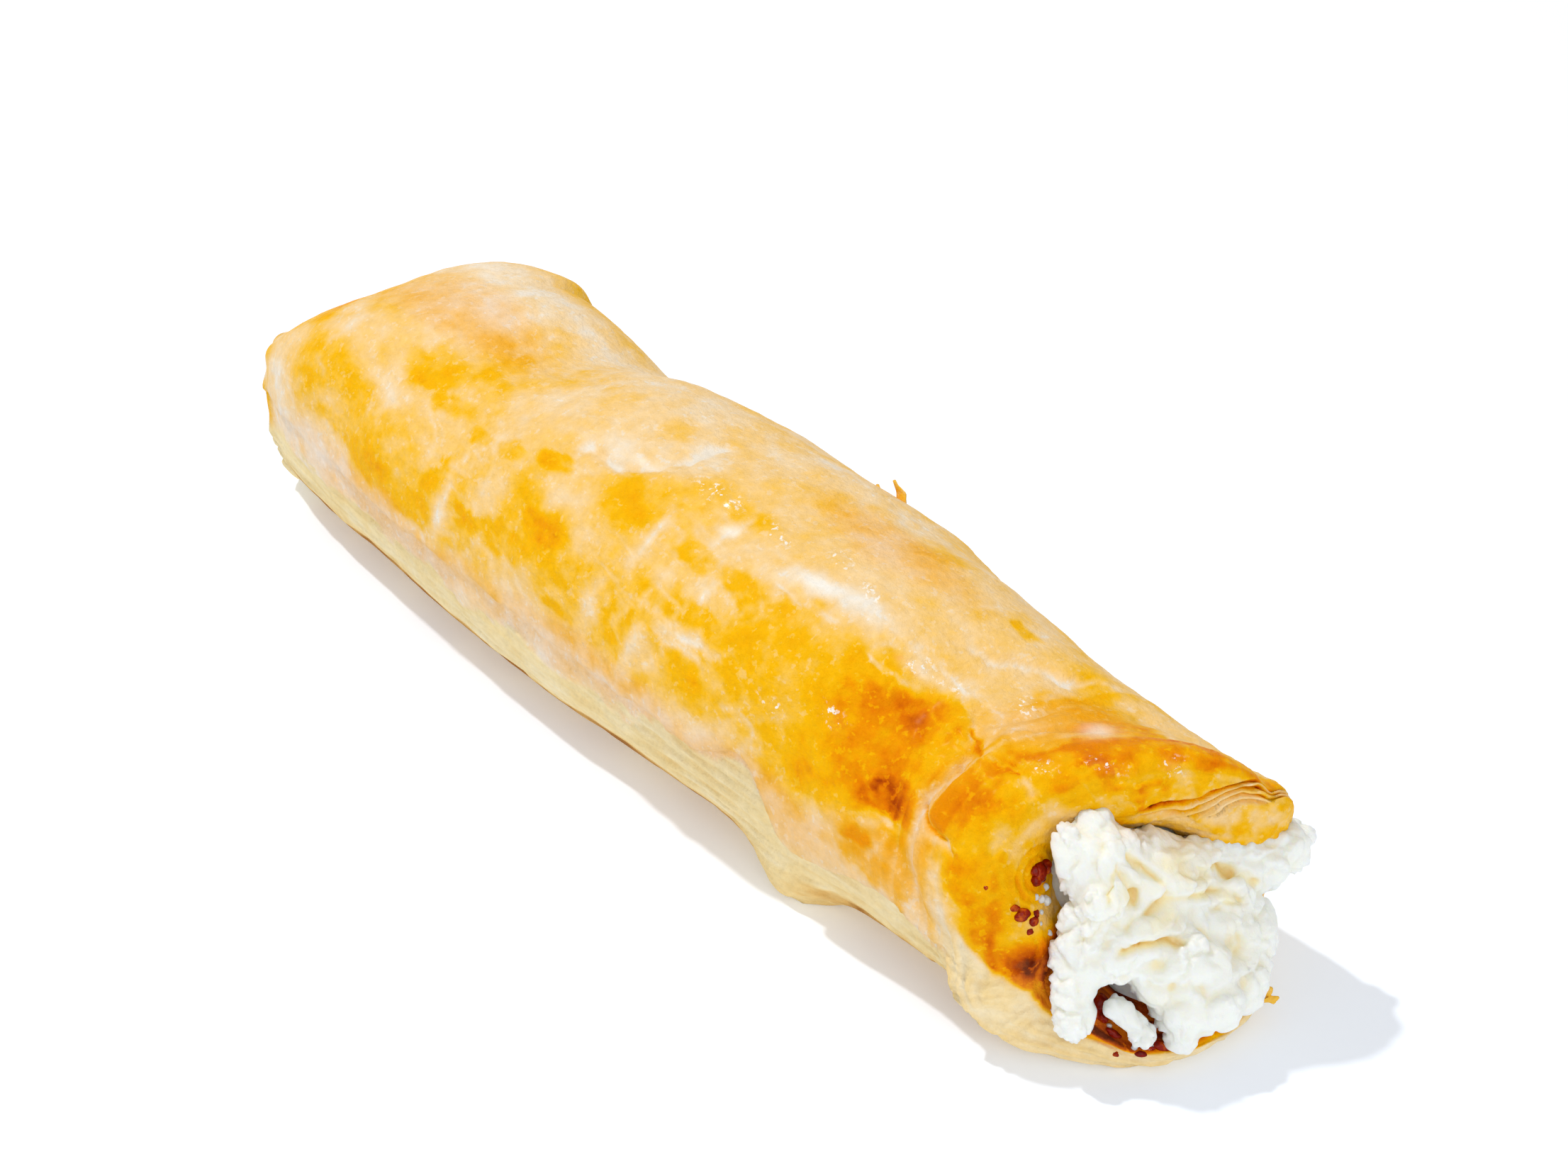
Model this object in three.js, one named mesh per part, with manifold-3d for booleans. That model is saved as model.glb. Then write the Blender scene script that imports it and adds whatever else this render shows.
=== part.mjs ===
// A baked puff pastry roll that lies on its flat underside, filled from end to end
// with soft white curd cheese. X runs along the roll, and the open end where the
// cheese swells out is at +X. Y is across, Z is up, all sizes are in millimetres.

import * as THREE from 'three';
import Module from 'manifold-3d';

const wasm = await Module();
wasm.setup();

const toRadians = (degrees) => (degrees * Math.PI) / 180;

// Roll: its two ends and its plain middle section
const FAR_END = -80;
const NEAR_RIM = 64.5;
const HALF_WIDTH = 21.3;
const HEIGHT = 36.4;
const CENTRE_Y = 0.6;
const BELLY_LEVEL = 0.42; // height of the widest place, as a share of the roll's height
const BASE_SINK = 0.8; // depth of the round section that the flat underside cuts away
const CROWN_POWER = 2.2; // superellipse power of the section above the belly
const KEEL_POWER = 2.8; // superellipse power of the section below the belly

// Places where the baked roll is narrower, lower or out of line, and its flattened far end
const PRESSES = [
  { at: 54, reach: 22.7, narrower: 2.9, lower: 5.5, shift: 0 }, // waist behind the open end
  { at: -33.5, reach: 10.7, narrower: 0.2, lower: 2.5, shift: 0 }, // dip in the back
  { at: -23.5, reach: 21, narrower: 0.5, lower: 0, shift: -1.5 }, // slight bow to the side
];
const FAR_SQUASH = { reach: 12, narrower: 5, lower: 13.6, shift: -0.8, squarer: 2.6, tilt: 1.6 };

// Near rim: a slanted mouth with a lip below and an ear at the upper right
const MOUTH_START = 40; // where the skin begins to follow the slanted rim
const LIP_REACH = 10.3;
const LIP_POWER = 3; // a higher power makes a narrower lip
const EAR_REACH = 4.2;
const RIM_SKEW = 3.4;
const RIM_DEPTH = 4.6;
const RIM_DEPTH_SKEW = 1.4;
const FAR_RIM_DEPTH = 2.5;

// Bore: the wall is the pastry's folded layers, thickest over the crown
const SIDE_WALL = 8;
const FLOOR_WALL = 4.5;
const CROWN_WALL = 8;
const BORE_POWER = 2.6;
const BORE_SHIFT = 2.2; // the mouth sits this much nearer the ear's side
const INNER_FOLD = { angle: 62, spread: 24, hang: 3.6 }; // second fold of the crust under the ear
const FAR_WALL_SHARE = 0.62; // wall at the far end, as a share of the wall elsewhere

// Relief of the skin
const HEM_LEVEL = 16.5; // lower edge of the outer wrap on the -Y side
const HEM_DROP = { start: 27, end: 34, drop: 4.8 }; // where that edge steps down
const HEM_STEP = 1.4;
const HEM_RUN = 1.6;
const FLANK = { from: 0.3, to: 0.7 }; // the step fades out where the side turns under
const CUP_START = 60; // past here the outer wrap goes on down to the floor
const CUP_RUN = 5;
// Pressed line that bends over the waist
const CREASE = { at: 44, angle: 115, bend: 0.0042, reach: 3.6, depth: 0.8 };
const TONGUES = [
  { at: 31, reach: 6, level: 1.6, rise: 3.4, out: 4.2 }, // strip of dough at the floor
  { at: -80, reach: 4, level: 2, rise: 2.2, out: 2.6 }, // scrap of dough at the far end
];
const SHOULDER = { from: -56.5, to: -53.5, step: 1, angle: 40, spread: 26 }; // fold edge on the +Y side
const EAR_SLIT = { depth: 1.8, turn: 1.05, width: 0.3, angle: 52, spread: 26 }; // open layers
const LUMPS = [
  { along: 0.115, around: 2, phase: 0.4, rise: 0.35 },
  { along: 0.21, around: 3, phase: 2.1, rise: 0.25 },
  { along: 0.34, around: 5, phase: 4.4, rise: 0.15 },
];

// Flake of crust that has curled up from the crown and tapers to its tip
const FLAKE = { at: 13, angle: toRadians(38), root: 1.5, tall: 4, wide: 1.5, thick: 0.8, taper: 0.75 };
const FLAKE_LEAN = new THREE.Vector3(-0.25, 0.15, 0.95).normalize();

// Curd cheese: a core through the bore, with a mass of soft curds that swells from the mouth
const CLEARANCE = 0.4;
const CORE_FRONT = new THREE.Vector3(66, 2.8, 13);
const FAR_SWELL = 1.2;
const CURD_ROOT = new THREE.Vector3(57, 2, 14); // place in the core that the curds swell from
const CURD_SPREAD = toRadians(64); // half angle of the swelling
const CURD_BLEND = 0.6; // rounding where one curd runs into the next
const CURD_FAR = 32; // the mass ends within this distance of its root
const CURD_NEAR = 8; // and never nearer than this
const CURD_STEP = 0.1;
const CURDS = [
  { x: 68.5, y: -5.6, z: 22.6, radius: 4.2 }, // upper left
  { x: 68.5, y: -7.2, z: 18.3, radius: 3.4 },
  { x: 69.5, y: 0.5, z: 20.5, radius: 3.2 },
  { x: 70, y: -1.1, z: 17.1, radius: 3.2 }, // fold in the middle
  { x: 71.5, y: 6, z: 18, radius: 3.3 }, // band under the ear
  { x: 72.5, y: 11.9, z: 16.4, radius: 3.4 },
  { x: 73.5, y: 16.6, z: 15.7, radius: 3.3 },
  { x: 75, y: 2.2, z: 11, radius: 5 }, // large middle curd
  { x: 73.5, y: 10, z: 12, radius: 3.4 },
  { x: 75.5, y: 11, z: 8, radius: 4 },
  { x: 70, y: -6.7, z: 12.4, radius: 4 }, // leg on the lower left
  { x: 71.5, y: -10, z: 9, radius: 3 },
  { x: 76.5, y: -2, z: 7.5, radius: 3.7 }, // over the lip
  { x: 78, y: 2.3, z: 6.3, radius: 3.4 },
  { x: 77, y: 8.5, z: 5.5, radius: 3.4 },
];

// Grid of the surfaces
const SKIN_SIDES = 68;
const SKIN_ROWS = 44;
const RIM_ROWS = 7;
const BORE_ROWS = 7;
const FAR_RIM_ROWS = 4;
const FLAKE_SIDES = 6;
const FLAKE_ROWS = 4;
const CORE_SIDES = 34;
const CURD_SIDES = 52;
const CURD_ROWS = 20;

// Finish of the two pieces
const CRUST = { color: 0xe9a94e, roughness: 0.45, metalness: 0 };
const CHEESE = { color: 0xf6f3e6, roughness: 0.6, metalness: 0 };

const bell = (value, at, reach) => Math.exp(-(((value - at) / reach) ** 2));
const mix = (from, to, share) => from + (to - from) * share;

function ramp(value, start, end) {
  const share = Math.min(1, Math.max(0, (value - start) / (end - start)));
  return share * share * (3 - 2 * share);
}

function signedPower(value, power) {
  return Math.sign(value) * Math.abs(value) ** power;
}

// Width, height and middle of the roll at one place along it
function rollSize(x) {
  const squash = Math.exp(-(x - FAR_END) / FAR_SQUASH.reach);
  const size = {
    half: HALF_WIDTH - FAR_SQUASH.narrower * squash,
    height: HEIGHT - FAR_SQUASH.lower * squash,
    centre: CENTRE_Y + FAR_SQUASH.shift * squash,
    crownPower: CROWN_POWER + FAR_SQUASH.squarer * squash,
    tilt: FAR_SQUASH.tilt * squash,
  };
  for (const press of PRESSES) {
    const share = bell(x, press.at, press.reach);
    size.half -= press.narrower * share;
    size.height -= press.lower * share;
    size.centre += press.shift * share;
  }
  return size;
}

// Point of the plain section: angle 0 is the +Y side, a quarter turn is the crown
function sectionPoint(x, angle) {
  const size = rollSize(x);
  const across = Math.cos(angle);
  const upward = Math.sin(angle);
  const power = upward >= 0 ? size.crownPower : KEEL_POWER;
  const belly = BELLY_LEVEL * size.height;
  const crown = size.height - belly - size.tilt * across;
  const reach = upward >= 0 ? crown : belly + BASE_SINK;
  return {
    y: size.centre + size.half * signedPower(across, 2 / power),
    z: belly + reach * signedPower(upward, 2 / power),
  };
}

// How far the slanted rim stands before or behind its mean place
function rimReach(angle) {
  const upward = Math.sin(angle);
  const ear = EAR_REACH * Math.sin(2 * angle);
  const lip = LIP_REACH * Math.abs(upward) ** LIP_POWER;
  return (upward >= 0 ? ear : lip) + RIM_SKEW * Math.cos(angle);
}

// Relief over the plain section: hem, crease, tongue, fold edge and slow lumps
function skinRelief(x, angle, z) {
  const degrees = THREE.MathUtils.radToDeg(angle);
  const hem = HEM_LEVEL - HEM_DROP.drop * ramp(x, HEM_DROP.start, HEM_DROP.end);
  const upper = ramp(z, hem - HEM_RUN, hem);
  let rise = 0;
  if (Math.cos(angle) < 0) {
    const flank = ramp(-Math.cos(angle), FLANK.from, FLANK.to);
    rise -= HEM_STEP * (1 - upper) * flank * (1 - ramp(x, CUP_START, CUP_START + CUP_RUN));
    for (const tongue of TONGUES) {
      rise += tongue.out * bell(x, tongue.at, tongue.reach) * bell(z, tongue.level, tongue.rise);
    }
  }
  const crease = CREASE.at + CREASE.bend * (degrees - CREASE.angle) ** 2;
  rise -= CREASE.depth * bell(x, crease, CREASE.reach) * upper;
  const shoulder = 1 - ramp(x, SHOULDER.from, SHOULDER.to);
  rise += SHOULDER.step * shoulder * bell(degrees, SHOULDER.angle, SHOULDER.spread);
  for (const lump of LUMPS) {
    rise += lump.rise * upper * Math.sin(lump.along * x + lump.around * angle + lump.phase);
  }
  return rise;
}

// Outer skin of the pastry, with the base cut flat on the floor
function skinPoint(x, angle, margin) {
  const plain = sectionPoint(x, angle);
  const rise = skinRelief(x, angle, plain.z) + margin;
  const follow = ramp(x, MOUTH_START, NEAR_RIM) * rimReach(angle);
  return new THREE.Vector3(
    x + follow,
    plain.y + rise * Math.cos(angle),
    Math.max(0, plain.z + rise * Math.sin(angle)),
  );
}

// Wall of the bore, or of the core that fills it with some clearance
function borePoint(x, angle, clearance) {
  const size = rollSize(x);
  const wall = mix(FAR_WALL_SHARE, 1, ramp(x, FAR_END, MOUTH_START));
  const half = size.half - SIDE_WALL * wall - clearance;
  const floor = FLOOR_WALL * wall + clearance;
  const crown = size.height - CROWN_WALL * wall - clearance;
  const mouth = ramp(x, MOUTH_START, NEAR_RIM);
  const degrees = THREE.MathUtils.radToDeg(angle);
  const hang = mouth * INNER_FOLD.hang * bell(degrees, INNER_FOLD.angle, INNER_FOLD.spread);
  return new THREE.Vector3(
    x + mouth * rimReach(angle),
    size.centre + mouth * BORE_SHIFT + half * signedPower(Math.cos(angle), 2 / BORE_POWER),
    (floor + crown) / 2 + ((crown - floor) / 2) * signedPower(Math.sin(angle), 2 / BORE_POWER) - hang,
  );
}

// Depth of the rim's round, largest on the -Y side
function rimDepth(angle) {
  return RIM_DEPTH - RIM_DEPTH_SKEW * Math.cos(angle);
}

// Rounded end of the wall: half an ellipse from the skin over to the bore
function rimPoint(angle, turn, margin) {
  const outside = skinPoint(NEAR_RIM, angle, margin);
  const inside = borePoint(NEAR_RIM, angle, margin);
  const degrees = THREE.MathUtils.radToDeg(angle);
  const onEar = bell(degrees, EAR_SLIT.angle, EAR_SLIT.spread);
  const slit = EAR_SLIT.depth * onEar * bell(turn, EAR_SLIT.turn, EAR_SLIT.width);
  const point = outside.lerp(inside, (1 - Math.cos(turn)) / 2);
  point.x += (rimDepth(angle) + margin) * Math.sin(turn) - slit;
  return point;
}

function farRimPoint(angle, turn, margin) {
  const outside = skinPoint(FAR_END, angle, margin);
  const inside = borePoint(FAR_END, angle, margin);
  const point = inside.lerp(outside, (1 - Math.cos(turn)) / 2);
  point.x -= FAR_RIM_DEPTH * Math.sin(turn);
  return point;
}

// Distance from a point to the curds, below zero inside them, with the balls run together
function curdDistance(point) {
  let sum = 0;
  for (const curd of CURDS) {
    const away = Math.hypot(point.x - curd.x, point.y - curd.y, point.z - curd.z) - curd.radius;
    sum += Math.exp(-away / CURD_BLEND);
  }
  return -CURD_BLEND * Math.log(sum);
}

// Surface of the curds in one direction from their root, where they reach furthest out
function curdPoint(angle, turn) {
  const direction = new THREE.Vector3(
    Math.cos(turn),
    Math.sin(turn) * Math.cos(angle),
    Math.sin(turn) * Math.sin(angle),
  );
  const point = new THREE.Vector3();
  let reach = CURD_FAR;
  do {
    reach -= CURD_STEP;
    point.copy(CURD_ROOT).addScaledVector(direction, reach);
  } while (curdDistance(point) > 0 && reach > CURD_NEAR);
  return point;
}

// Closed grid: each row is a ring of points, the rows follow one another round a loop
// or run from one pole to another
function ringSurface(rings, poles) {
  const sides = rings[0].length;
  const positions = rings.flat().concat(poles).flatMap((point) => [point.x, point.y, point.z]);
  const triangles = [];
  const lastRing = poles.length ? rings.length - 1 : rings.length;
  for (let row = 0; row < lastRing; row += 1) {
    const next = (row + 1) % rings.length;
    for (let side = 0; side < sides; side += 1) {
      const a = row * sides + side;
      const b = row * sides + ((side + 1) % sides);
      const c = next * sides + ((side + 1) % sides);
      const d = next * sides + side;
      triangles.push(a, b, c, a, c, d);
    }
  }
  if (poles.length) {
    const start = rings.length * sides;
    const last = (rings.length - 1) * sides;
    for (let side = 0; side < sides; side += 1) {
      const after = (side + 1) % sides;
      triangles.push(start, after, side, start + 1, last + side, last + after);
    }
  }
  return { positions, triangles };
}

function ring(sides, pointAt) {
  return Array.from({ length: sides }, (_, side) => pointAt((side / sides) * 2 * Math.PI));
}

function rows(count, ringAt) {
  return Array.from({ length: count }, (_, row) => ringAt(row / count));
}

function toSolid({ positions, triangles }) {
  const mesh = new wasm.Mesh({
    numProp: 3,
    vertProperties: new Float32Array(positions),
    triVerts: new Uint32Array(triangles),
  });
  return new wasm.Manifold(mesh);
}

function toGeometry(solid) {
  const { vertProperties, triVerts } = solid.getMesh();
  const geometry = new THREE.BufferGeometry();
  geometry.setAttribute('position', new THREE.BufferAttribute(vertProperties, 3));
  geometry.setIndex(new THREE.BufferAttribute(triVerts, 1));
  geometry.computeVertexNormals();
  return geometry;
}

// The pastry as one closed loop of rings: skin, near rim, bore and far rim. A margin
// above zero swells it, for cutting what has to stay clear of it.
function pastrySolid(margin) {
  const skin = rows(SKIN_ROWS, (share) => {
    const x = mix(FAR_END, NEAR_RIM, share);
    return ring(SKIN_SIDES, (angle) => skinPoint(x, angle, margin));
  });
  const nearRim = rows(RIM_ROWS, (share) => {
    return ring(SKIN_SIDES, (angle) => rimPoint(angle, Math.PI * share, margin));
  });
  const bore = rows(BORE_ROWS, (share) => {
    const x = mix(NEAR_RIM, FAR_END, share);
    return ring(SKIN_SIDES, (angle) => borePoint(x, angle, margin));
  });
  const farRim = rows(FAR_RIM_ROWS, (share) => {
    return ring(SKIN_SIDES, (angle) => farRimPoint(angle, Math.PI * share, margin));
  });
  return toSolid(ringSurface([...skin, ...nearRim, ...bore, ...farRim], []));
}

// The raised flake: flat rings along its lean, the first one sunk into the crust
function flakeSolid() {
  const foot = skinPoint(FLAKE.at, FLAKE.angle, 0).addScaledVector(FLAKE_LEAN, -FLAKE.root);
  const tip = foot.clone().addScaledVector(FLAKE_LEAN, FLAKE.root + FLAKE.tall);
  const acrossFlake = new THREE.Vector3(1, 0, 0).cross(FLAKE_LEAN).normalize();
  const alongFlake = acrossFlake.clone().cross(FLAKE_LEAN);
  const rings = rows(FLAKE_ROWS, (share) => {
    const size = 1 - FLAKE.taper * share;
    const middle = foot.clone().lerp(tip, share);
    return ring(FLAKE_SIDES, (angle) => {
      const point = middle.clone().addScaledVector(acrossFlake, FLAKE.wide * size * Math.cos(angle));
      return point.addScaledVector(alongFlake, -FLAKE.thick * size * Math.sin(angle));
    });
  });
  const below = foot.clone().addScaledVector(FLAKE_LEAN, -FLAKE.thick);
  return toSolid(ringSurface(rings, [below, tip]));
}

// The core and its curds in one piece, the curds cut back where they would reach into the pastry
function cheeseSolid() {
  const core = rows(BORE_ROWS + 1, (share) => {
    const x = mix(FAR_END, NEAR_RIM, (share * (BORE_ROWS + 1)) / BORE_ROWS);
    return ring(CORE_SIDES, (angle) => borePoint(x, angle, CLEARANCE));
  });
  const far = borePoint(FAR_END, 0, 0).lerp(borePoint(FAR_END, Math.PI, 0), 0.5);
  far.x -= FAR_SWELL;
  const coreSolid = toSolid(ringSurface(core, [far, CORE_FRONT]));
  const curds = rows(CURD_ROWS, (share) => {
    return ring(CURD_SIDES, (angle) => curdPoint(angle, CURD_SPREAD * (1 - share)));
  });
  const curdSolid = toSolid(ringSurface(curds, [CURD_ROOT, curdPoint(0, 0)]));
  return coreSolid.add(curdSolid.subtract(pastrySolid(CLEARANCE)));
}

function pieceMesh(name, solid, finish) {
  const mesh = new THREE.Mesh(toGeometry(solid), new THREE.MeshStandardMaterial(finish));
  mesh.name = name;
  return mesh;
}

const cheesePastry = new THREE.Group();
cheesePastry.add(pieceMesh('pastry_roll', pastrySolid(0).add(flakeSolid()), CRUST));
cheesePastry.add(pieceMesh('cheese_filling', cheeseSolid(), CHEESE));

export default cheesePastry;
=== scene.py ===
import math

import bpy
import mathutils
import numpy as np
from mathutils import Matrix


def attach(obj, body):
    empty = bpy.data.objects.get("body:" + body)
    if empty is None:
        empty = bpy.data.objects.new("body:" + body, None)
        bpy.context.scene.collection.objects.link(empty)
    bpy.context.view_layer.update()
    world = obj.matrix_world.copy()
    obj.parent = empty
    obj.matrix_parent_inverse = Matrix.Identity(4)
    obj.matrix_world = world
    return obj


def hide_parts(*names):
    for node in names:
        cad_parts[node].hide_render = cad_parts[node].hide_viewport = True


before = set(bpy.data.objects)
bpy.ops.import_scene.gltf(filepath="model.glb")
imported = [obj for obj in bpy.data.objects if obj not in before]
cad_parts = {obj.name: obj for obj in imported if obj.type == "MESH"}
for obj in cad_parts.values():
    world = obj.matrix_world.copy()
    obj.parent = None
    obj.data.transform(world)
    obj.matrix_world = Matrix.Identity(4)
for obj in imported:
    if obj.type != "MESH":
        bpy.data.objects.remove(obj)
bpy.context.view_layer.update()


# Camera: a short telephoto view down on the roll, from before its open end and its -Y side.
# It stands where the roll's outline fits the frame of the photograph.
MM = 0.001  # sizes below are in millimetres, as the CAD has them, and meshes are in metres
VIEW_AZIMUTH = math.radians(51.69)
VIEW_ELEVATION = math.radians(33)
CAMERA_PLACE = (236.75, -179.05, 211.46)
LENS = 68.96
SENSOR = 36

camera_data = bpy.data.cameras.new("camera")
camera_data.lens = LENS
camera_data.sensor_width = SENSOR
camera = bpy.data.objects.new("camera", camera_data)
camera.location = [place * MM for place in CAMERA_PLACE]
camera.rotation_euler = (math.pi / 2 - VIEW_ELEVATION, 0, VIEW_AZIMUTH)
bpy.context.scene.collection.objects.link(camera)
bpy.context.scene.camera = camera


# Crust: sheets of puff pastry rolled round the filling, brushed with egg and baked golden.
# One closed surface runs along the skin, over the near rim, back through the bore and over
# the far rim. Its forms are those of the CAD solid, with the finer folds and blisters added.
FAR_END = -80
NEAR_RIM = 64.5
HALF_WIDTH = 21.3
HEIGHT = 36.4
CENTRE_Y = 0.6
BELLY_LEVEL = 0.42
BASE_SINK = 0.8
CROWN_POWER = 2.2
KEEL_POWER = 2.8
PRESSES = (  # place along, reach, narrower, lower, shift
    (54, 22.7, 2.9, 5.5, 0),
    (-33.5, 10.7, 0.2, 2.5, 0),
    (-23.5, 21, 0.5, 0, -1.5),
)
FAR_SQUASH = {"reach": 12, "narrower": 5, "lower": 13.6, "shift": -0.8, "squarer": 2.6, "tilt": 1.6}
MOUTH_START = 40
LIP_REACH = 12
LIP_POWER = 3
EAR_REACH = 4.2
RIM_SKEW = 3.4
RIM_DEPTH = 4.6
RIM_DEPTH_SKEW = 1.4
FAR_RIM_DEPTH = 2.5
SIDE_WALL = 8
FLOOR_WALL = 4.5
CROWN_WALL = 8
BORE_POWER = 2.6
BORE_SHIFT = 2.2
INNER_FOLD = {"angle": 62, "spread": 24, "hang": 3.6}
FAR_WALL_SHARE = 0.62
HEM_LEVEL = 16.5
HEM_DROP = {"start": 27, "end": 34, "drop": 4.8}
HEM_WAVES = ((26, 4, 1.8), (36, 4, -1.2), (49, 5, 1.4))  # place along, reach, rise
HEM_STEP = {"far": 0.7, "near": 1.4, "start": -10, "end": 18}
HEM_RUN = 0.7
HEM_RAGGED = 0.5
FLANK = {"from": 0.3, "to": 0.7}
CUP_START = 60
CUP_RUN = 5
CREASE = {"at": 44, "angle": 115, "bend": 0.0042, "reach": 3.6, "depth": 0.8}
TONGUES = ((31, 6, 1.6, 3.4, 4.2), (-80, 4, 2, 2.2, 1))  # place along, reach, level, rise, out
SHOULDER = {"from": -56.2, "to": -54.6, "step": 1.5, "angle": 40, "spread": 26}
LIP_SHARPER = {"angle": 265, "spread": 45, "share": 0.42}
MOUTH_ANGLES = (0, 60, 95, 120, 150, 185, 215, 245, 270, 310, 335, 360)
MOUTH_INSETS = (0, 0, 1.2, 2.4, 3.6, 3.8, 2.6, -0.4, -1.2, -1, 0, 0)
EAR_FACE = {"angle": 48, "spread": 34, "power": 0.6}
LIP_EDGE = {"angle": 240, "spread": 60, "power": 0.45}
LUMPS = (  # slow waves of the skin: radians to a millimetre along, waves round, phase, height
    (0.115, 2, 0.4, 0.35),
    (0.21, 3, 2.1, 0.25),
    (0.34, 5, 4.4, 0.15),
)
RIM_ARC = 14  # length of the round over the rim, so that places along go on over it
SKIN_ROWS = 212
RIM_ROWS = 88
BORE_ROWS = 12
FAR_RIM_ROWS = 10
CRUST_SIDES = 300
SEEN_SIDE = (0.5, 1.2, 3.9, 4.3)  # angles between which the mesh is finest


def bell(value, at, reach):
    """One at the given place, falling off to both sides: exp of minus the squared distance over the reach."""
    return np.exp(-(((value - at) / reach) ** 2))


def ramp(value, start, end):
    """Zero before start, one after end, and a smooth cubic step between them."""
    share = np.clip((value - start) / (end - start), 0, 1)
    return share * share * (3 - 2 * share)


def plateau(value, start, full, fade, end):
    """Zero before start, one from full to fade and zero after end: a ramp up times a ramp down."""
    return ramp(value, start, full) * (1 - ramp(value, fade, end))


def signed_power(value, power):
    """The power of the value's size, with the value's sign."""
    return np.sign(value) * np.abs(value) ** power


def cell_random(cell, seed):
    """Fixed random number from 0 to 1 for each cell of a lattice: its coordinates, mixed and scrambled."""
    key = cell @ np.array([73856093, 19349663, 83492791]) + seed * 2654435761
    key = (key ^ (key >> 13)) * 1274126177
    return ((key ^ (key >> 16)) & 0xFFFF) / 0xFFFF


def noise(points, size, seed):
    """Smooth random value from -1 to 1 at each point: the corners of its cell in a lattice of the given
    size hold fixed random numbers, and the point takes their mix, weighted by quintic steps."""
    place = points / size
    cell = np.floor(place).astype(np.int64)
    step = place - cell
    step = step**3 * (step * (step * 6 - 15) + 10)
    total = np.zeros(points.shape[:-1])
    for corner in range(8):
        offset = np.array([(corner >> axis) & 1 for axis in range(3)])
        weight = np.prod(np.where(offset, step, 1 - step), axis=-1)
        total += weight * cell_random(cell + offset, seed)
    return 2 * total - 1


def cell_borders(points, size, seed):
    """How far points lie from the borders of cells grown from seeds strewn one to each lattice cell: the
    distance to the second nearest seed less that to the nearest, in cell sizes."""
    place = points / size
    cell = np.floor(place).astype(np.int64)
    first = np.full(points.shape[:-1], np.inf)
    second = first.copy()
    for corner in range(27):
        other = cell + np.array([corner % 3, corner // 3 % 3, corner // 9]) - 1
        jitter = np.stack([cell_random(other, seed + axis) for axis in range(3)], -1)
        distance = np.linalg.norm(place - other - jitter, axis=-1)
        second = np.minimum(second, np.maximum(first, distance))
        first = np.minimum(first, distance)
    return second - first


def rough(points, size, octaves, seed):
    """Noise of several sizes added up, each half as large and half as strong as the one before."""
    return sum(noise(points, size / 2**octave, seed + octave) / 2**octave for octave in range(octaves))


def spaced(start, end, count, crowding):
    """Places from start up to but not at end, closer together where the crowding function is larger:
    even steps of that function's running sum."""
    fine = np.linspace(start, end, 4000)
    total = np.cumsum(crowding(fine))
    return np.interp(np.linspace(total[0], total[-1], count, endpoint=False), total, fine)


def roll_size(along):
    """Half width, height, middle, crown power and tilt of the roll at a place along it: the plain roll,
    less the squash that fades away from the far end, less each press as a bell."""
    squash = np.exp(-(along - FAR_END) / FAR_SQUASH["reach"])
    half = HALF_WIDTH - FAR_SQUASH["narrower"] * squash
    height = HEIGHT - FAR_SQUASH["lower"] * squash
    centre = CENTRE_Y + FAR_SQUASH["shift"] * squash
    for at, reach, narrower, lower, shift in PRESSES:
        share = bell(along, at, reach)
        half = half - narrower * share
        height = height - lower * share
        centre = centre + shift * share
    return half, height, centre, CROWN_POWER + FAR_SQUASH["squarer"] * squash, FAR_SQUASH["tilt"] * squash


def section(along, angle):
    """Y and Z of the plain section: a superellipse about the belly, with one power above it and one below."""
    half, height, centre, crown_power, tilt = roll_size(along)
    across, upward = np.cos(angle), np.sin(angle)
    power = np.where(upward >= 0, crown_power, KEEL_POWER)
    belly = BELLY_LEVEL * height
    reach = np.where(upward >= 0, height - belly - tilt * across, belly + BASE_SINK)
    return centre + half * signed_power(across, 2 / power), belly + reach * signed_power(upward, 2 / power)


def rim_reach(angle):
    """How far the slanted rim stands before its mean place: an ear above, a lip below, skewed across."""
    upward = np.sin(angle)
    ear = EAR_REACH * np.sin(2 * angle)
    lip = LIP_REACH * np.abs(upward) ** LIP_POWER
    return np.where(upward >= 0, ear, lip) + RIM_SKEW * np.cos(angle)


def below_hem(along, angle, level):
    """Share of the pale under sheet at a place on the skin: one below the outer wrap's wavy lower edge on
    the -Y flank, fading out under the roll and where the wrap goes on to the floor near the mouth."""
    hem = HEM_LEVEL - HEM_DROP["drop"] * ramp(along, HEM_DROP["start"], HEM_DROP["end"])
    for at, reach, rise in HEM_WAVES:
        hem = hem + rise * bell(along, at, reach)
    places = np.stack(np.broadcast_arrays(along, 0 * along, 0 * along), -1)
    hem = hem + HEM_RAGGED * rough(places, size=7, octaves=3, seed=11)
    flank = ramp(-np.cos(angle), FLANK["from"], FLANK["to"])
    cup = 1 - ramp(along, CUP_START, CUP_START + CUP_RUN)
    return (1 - ramp(level, hem - HEM_RUN, hem)) * flank * cup


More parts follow.
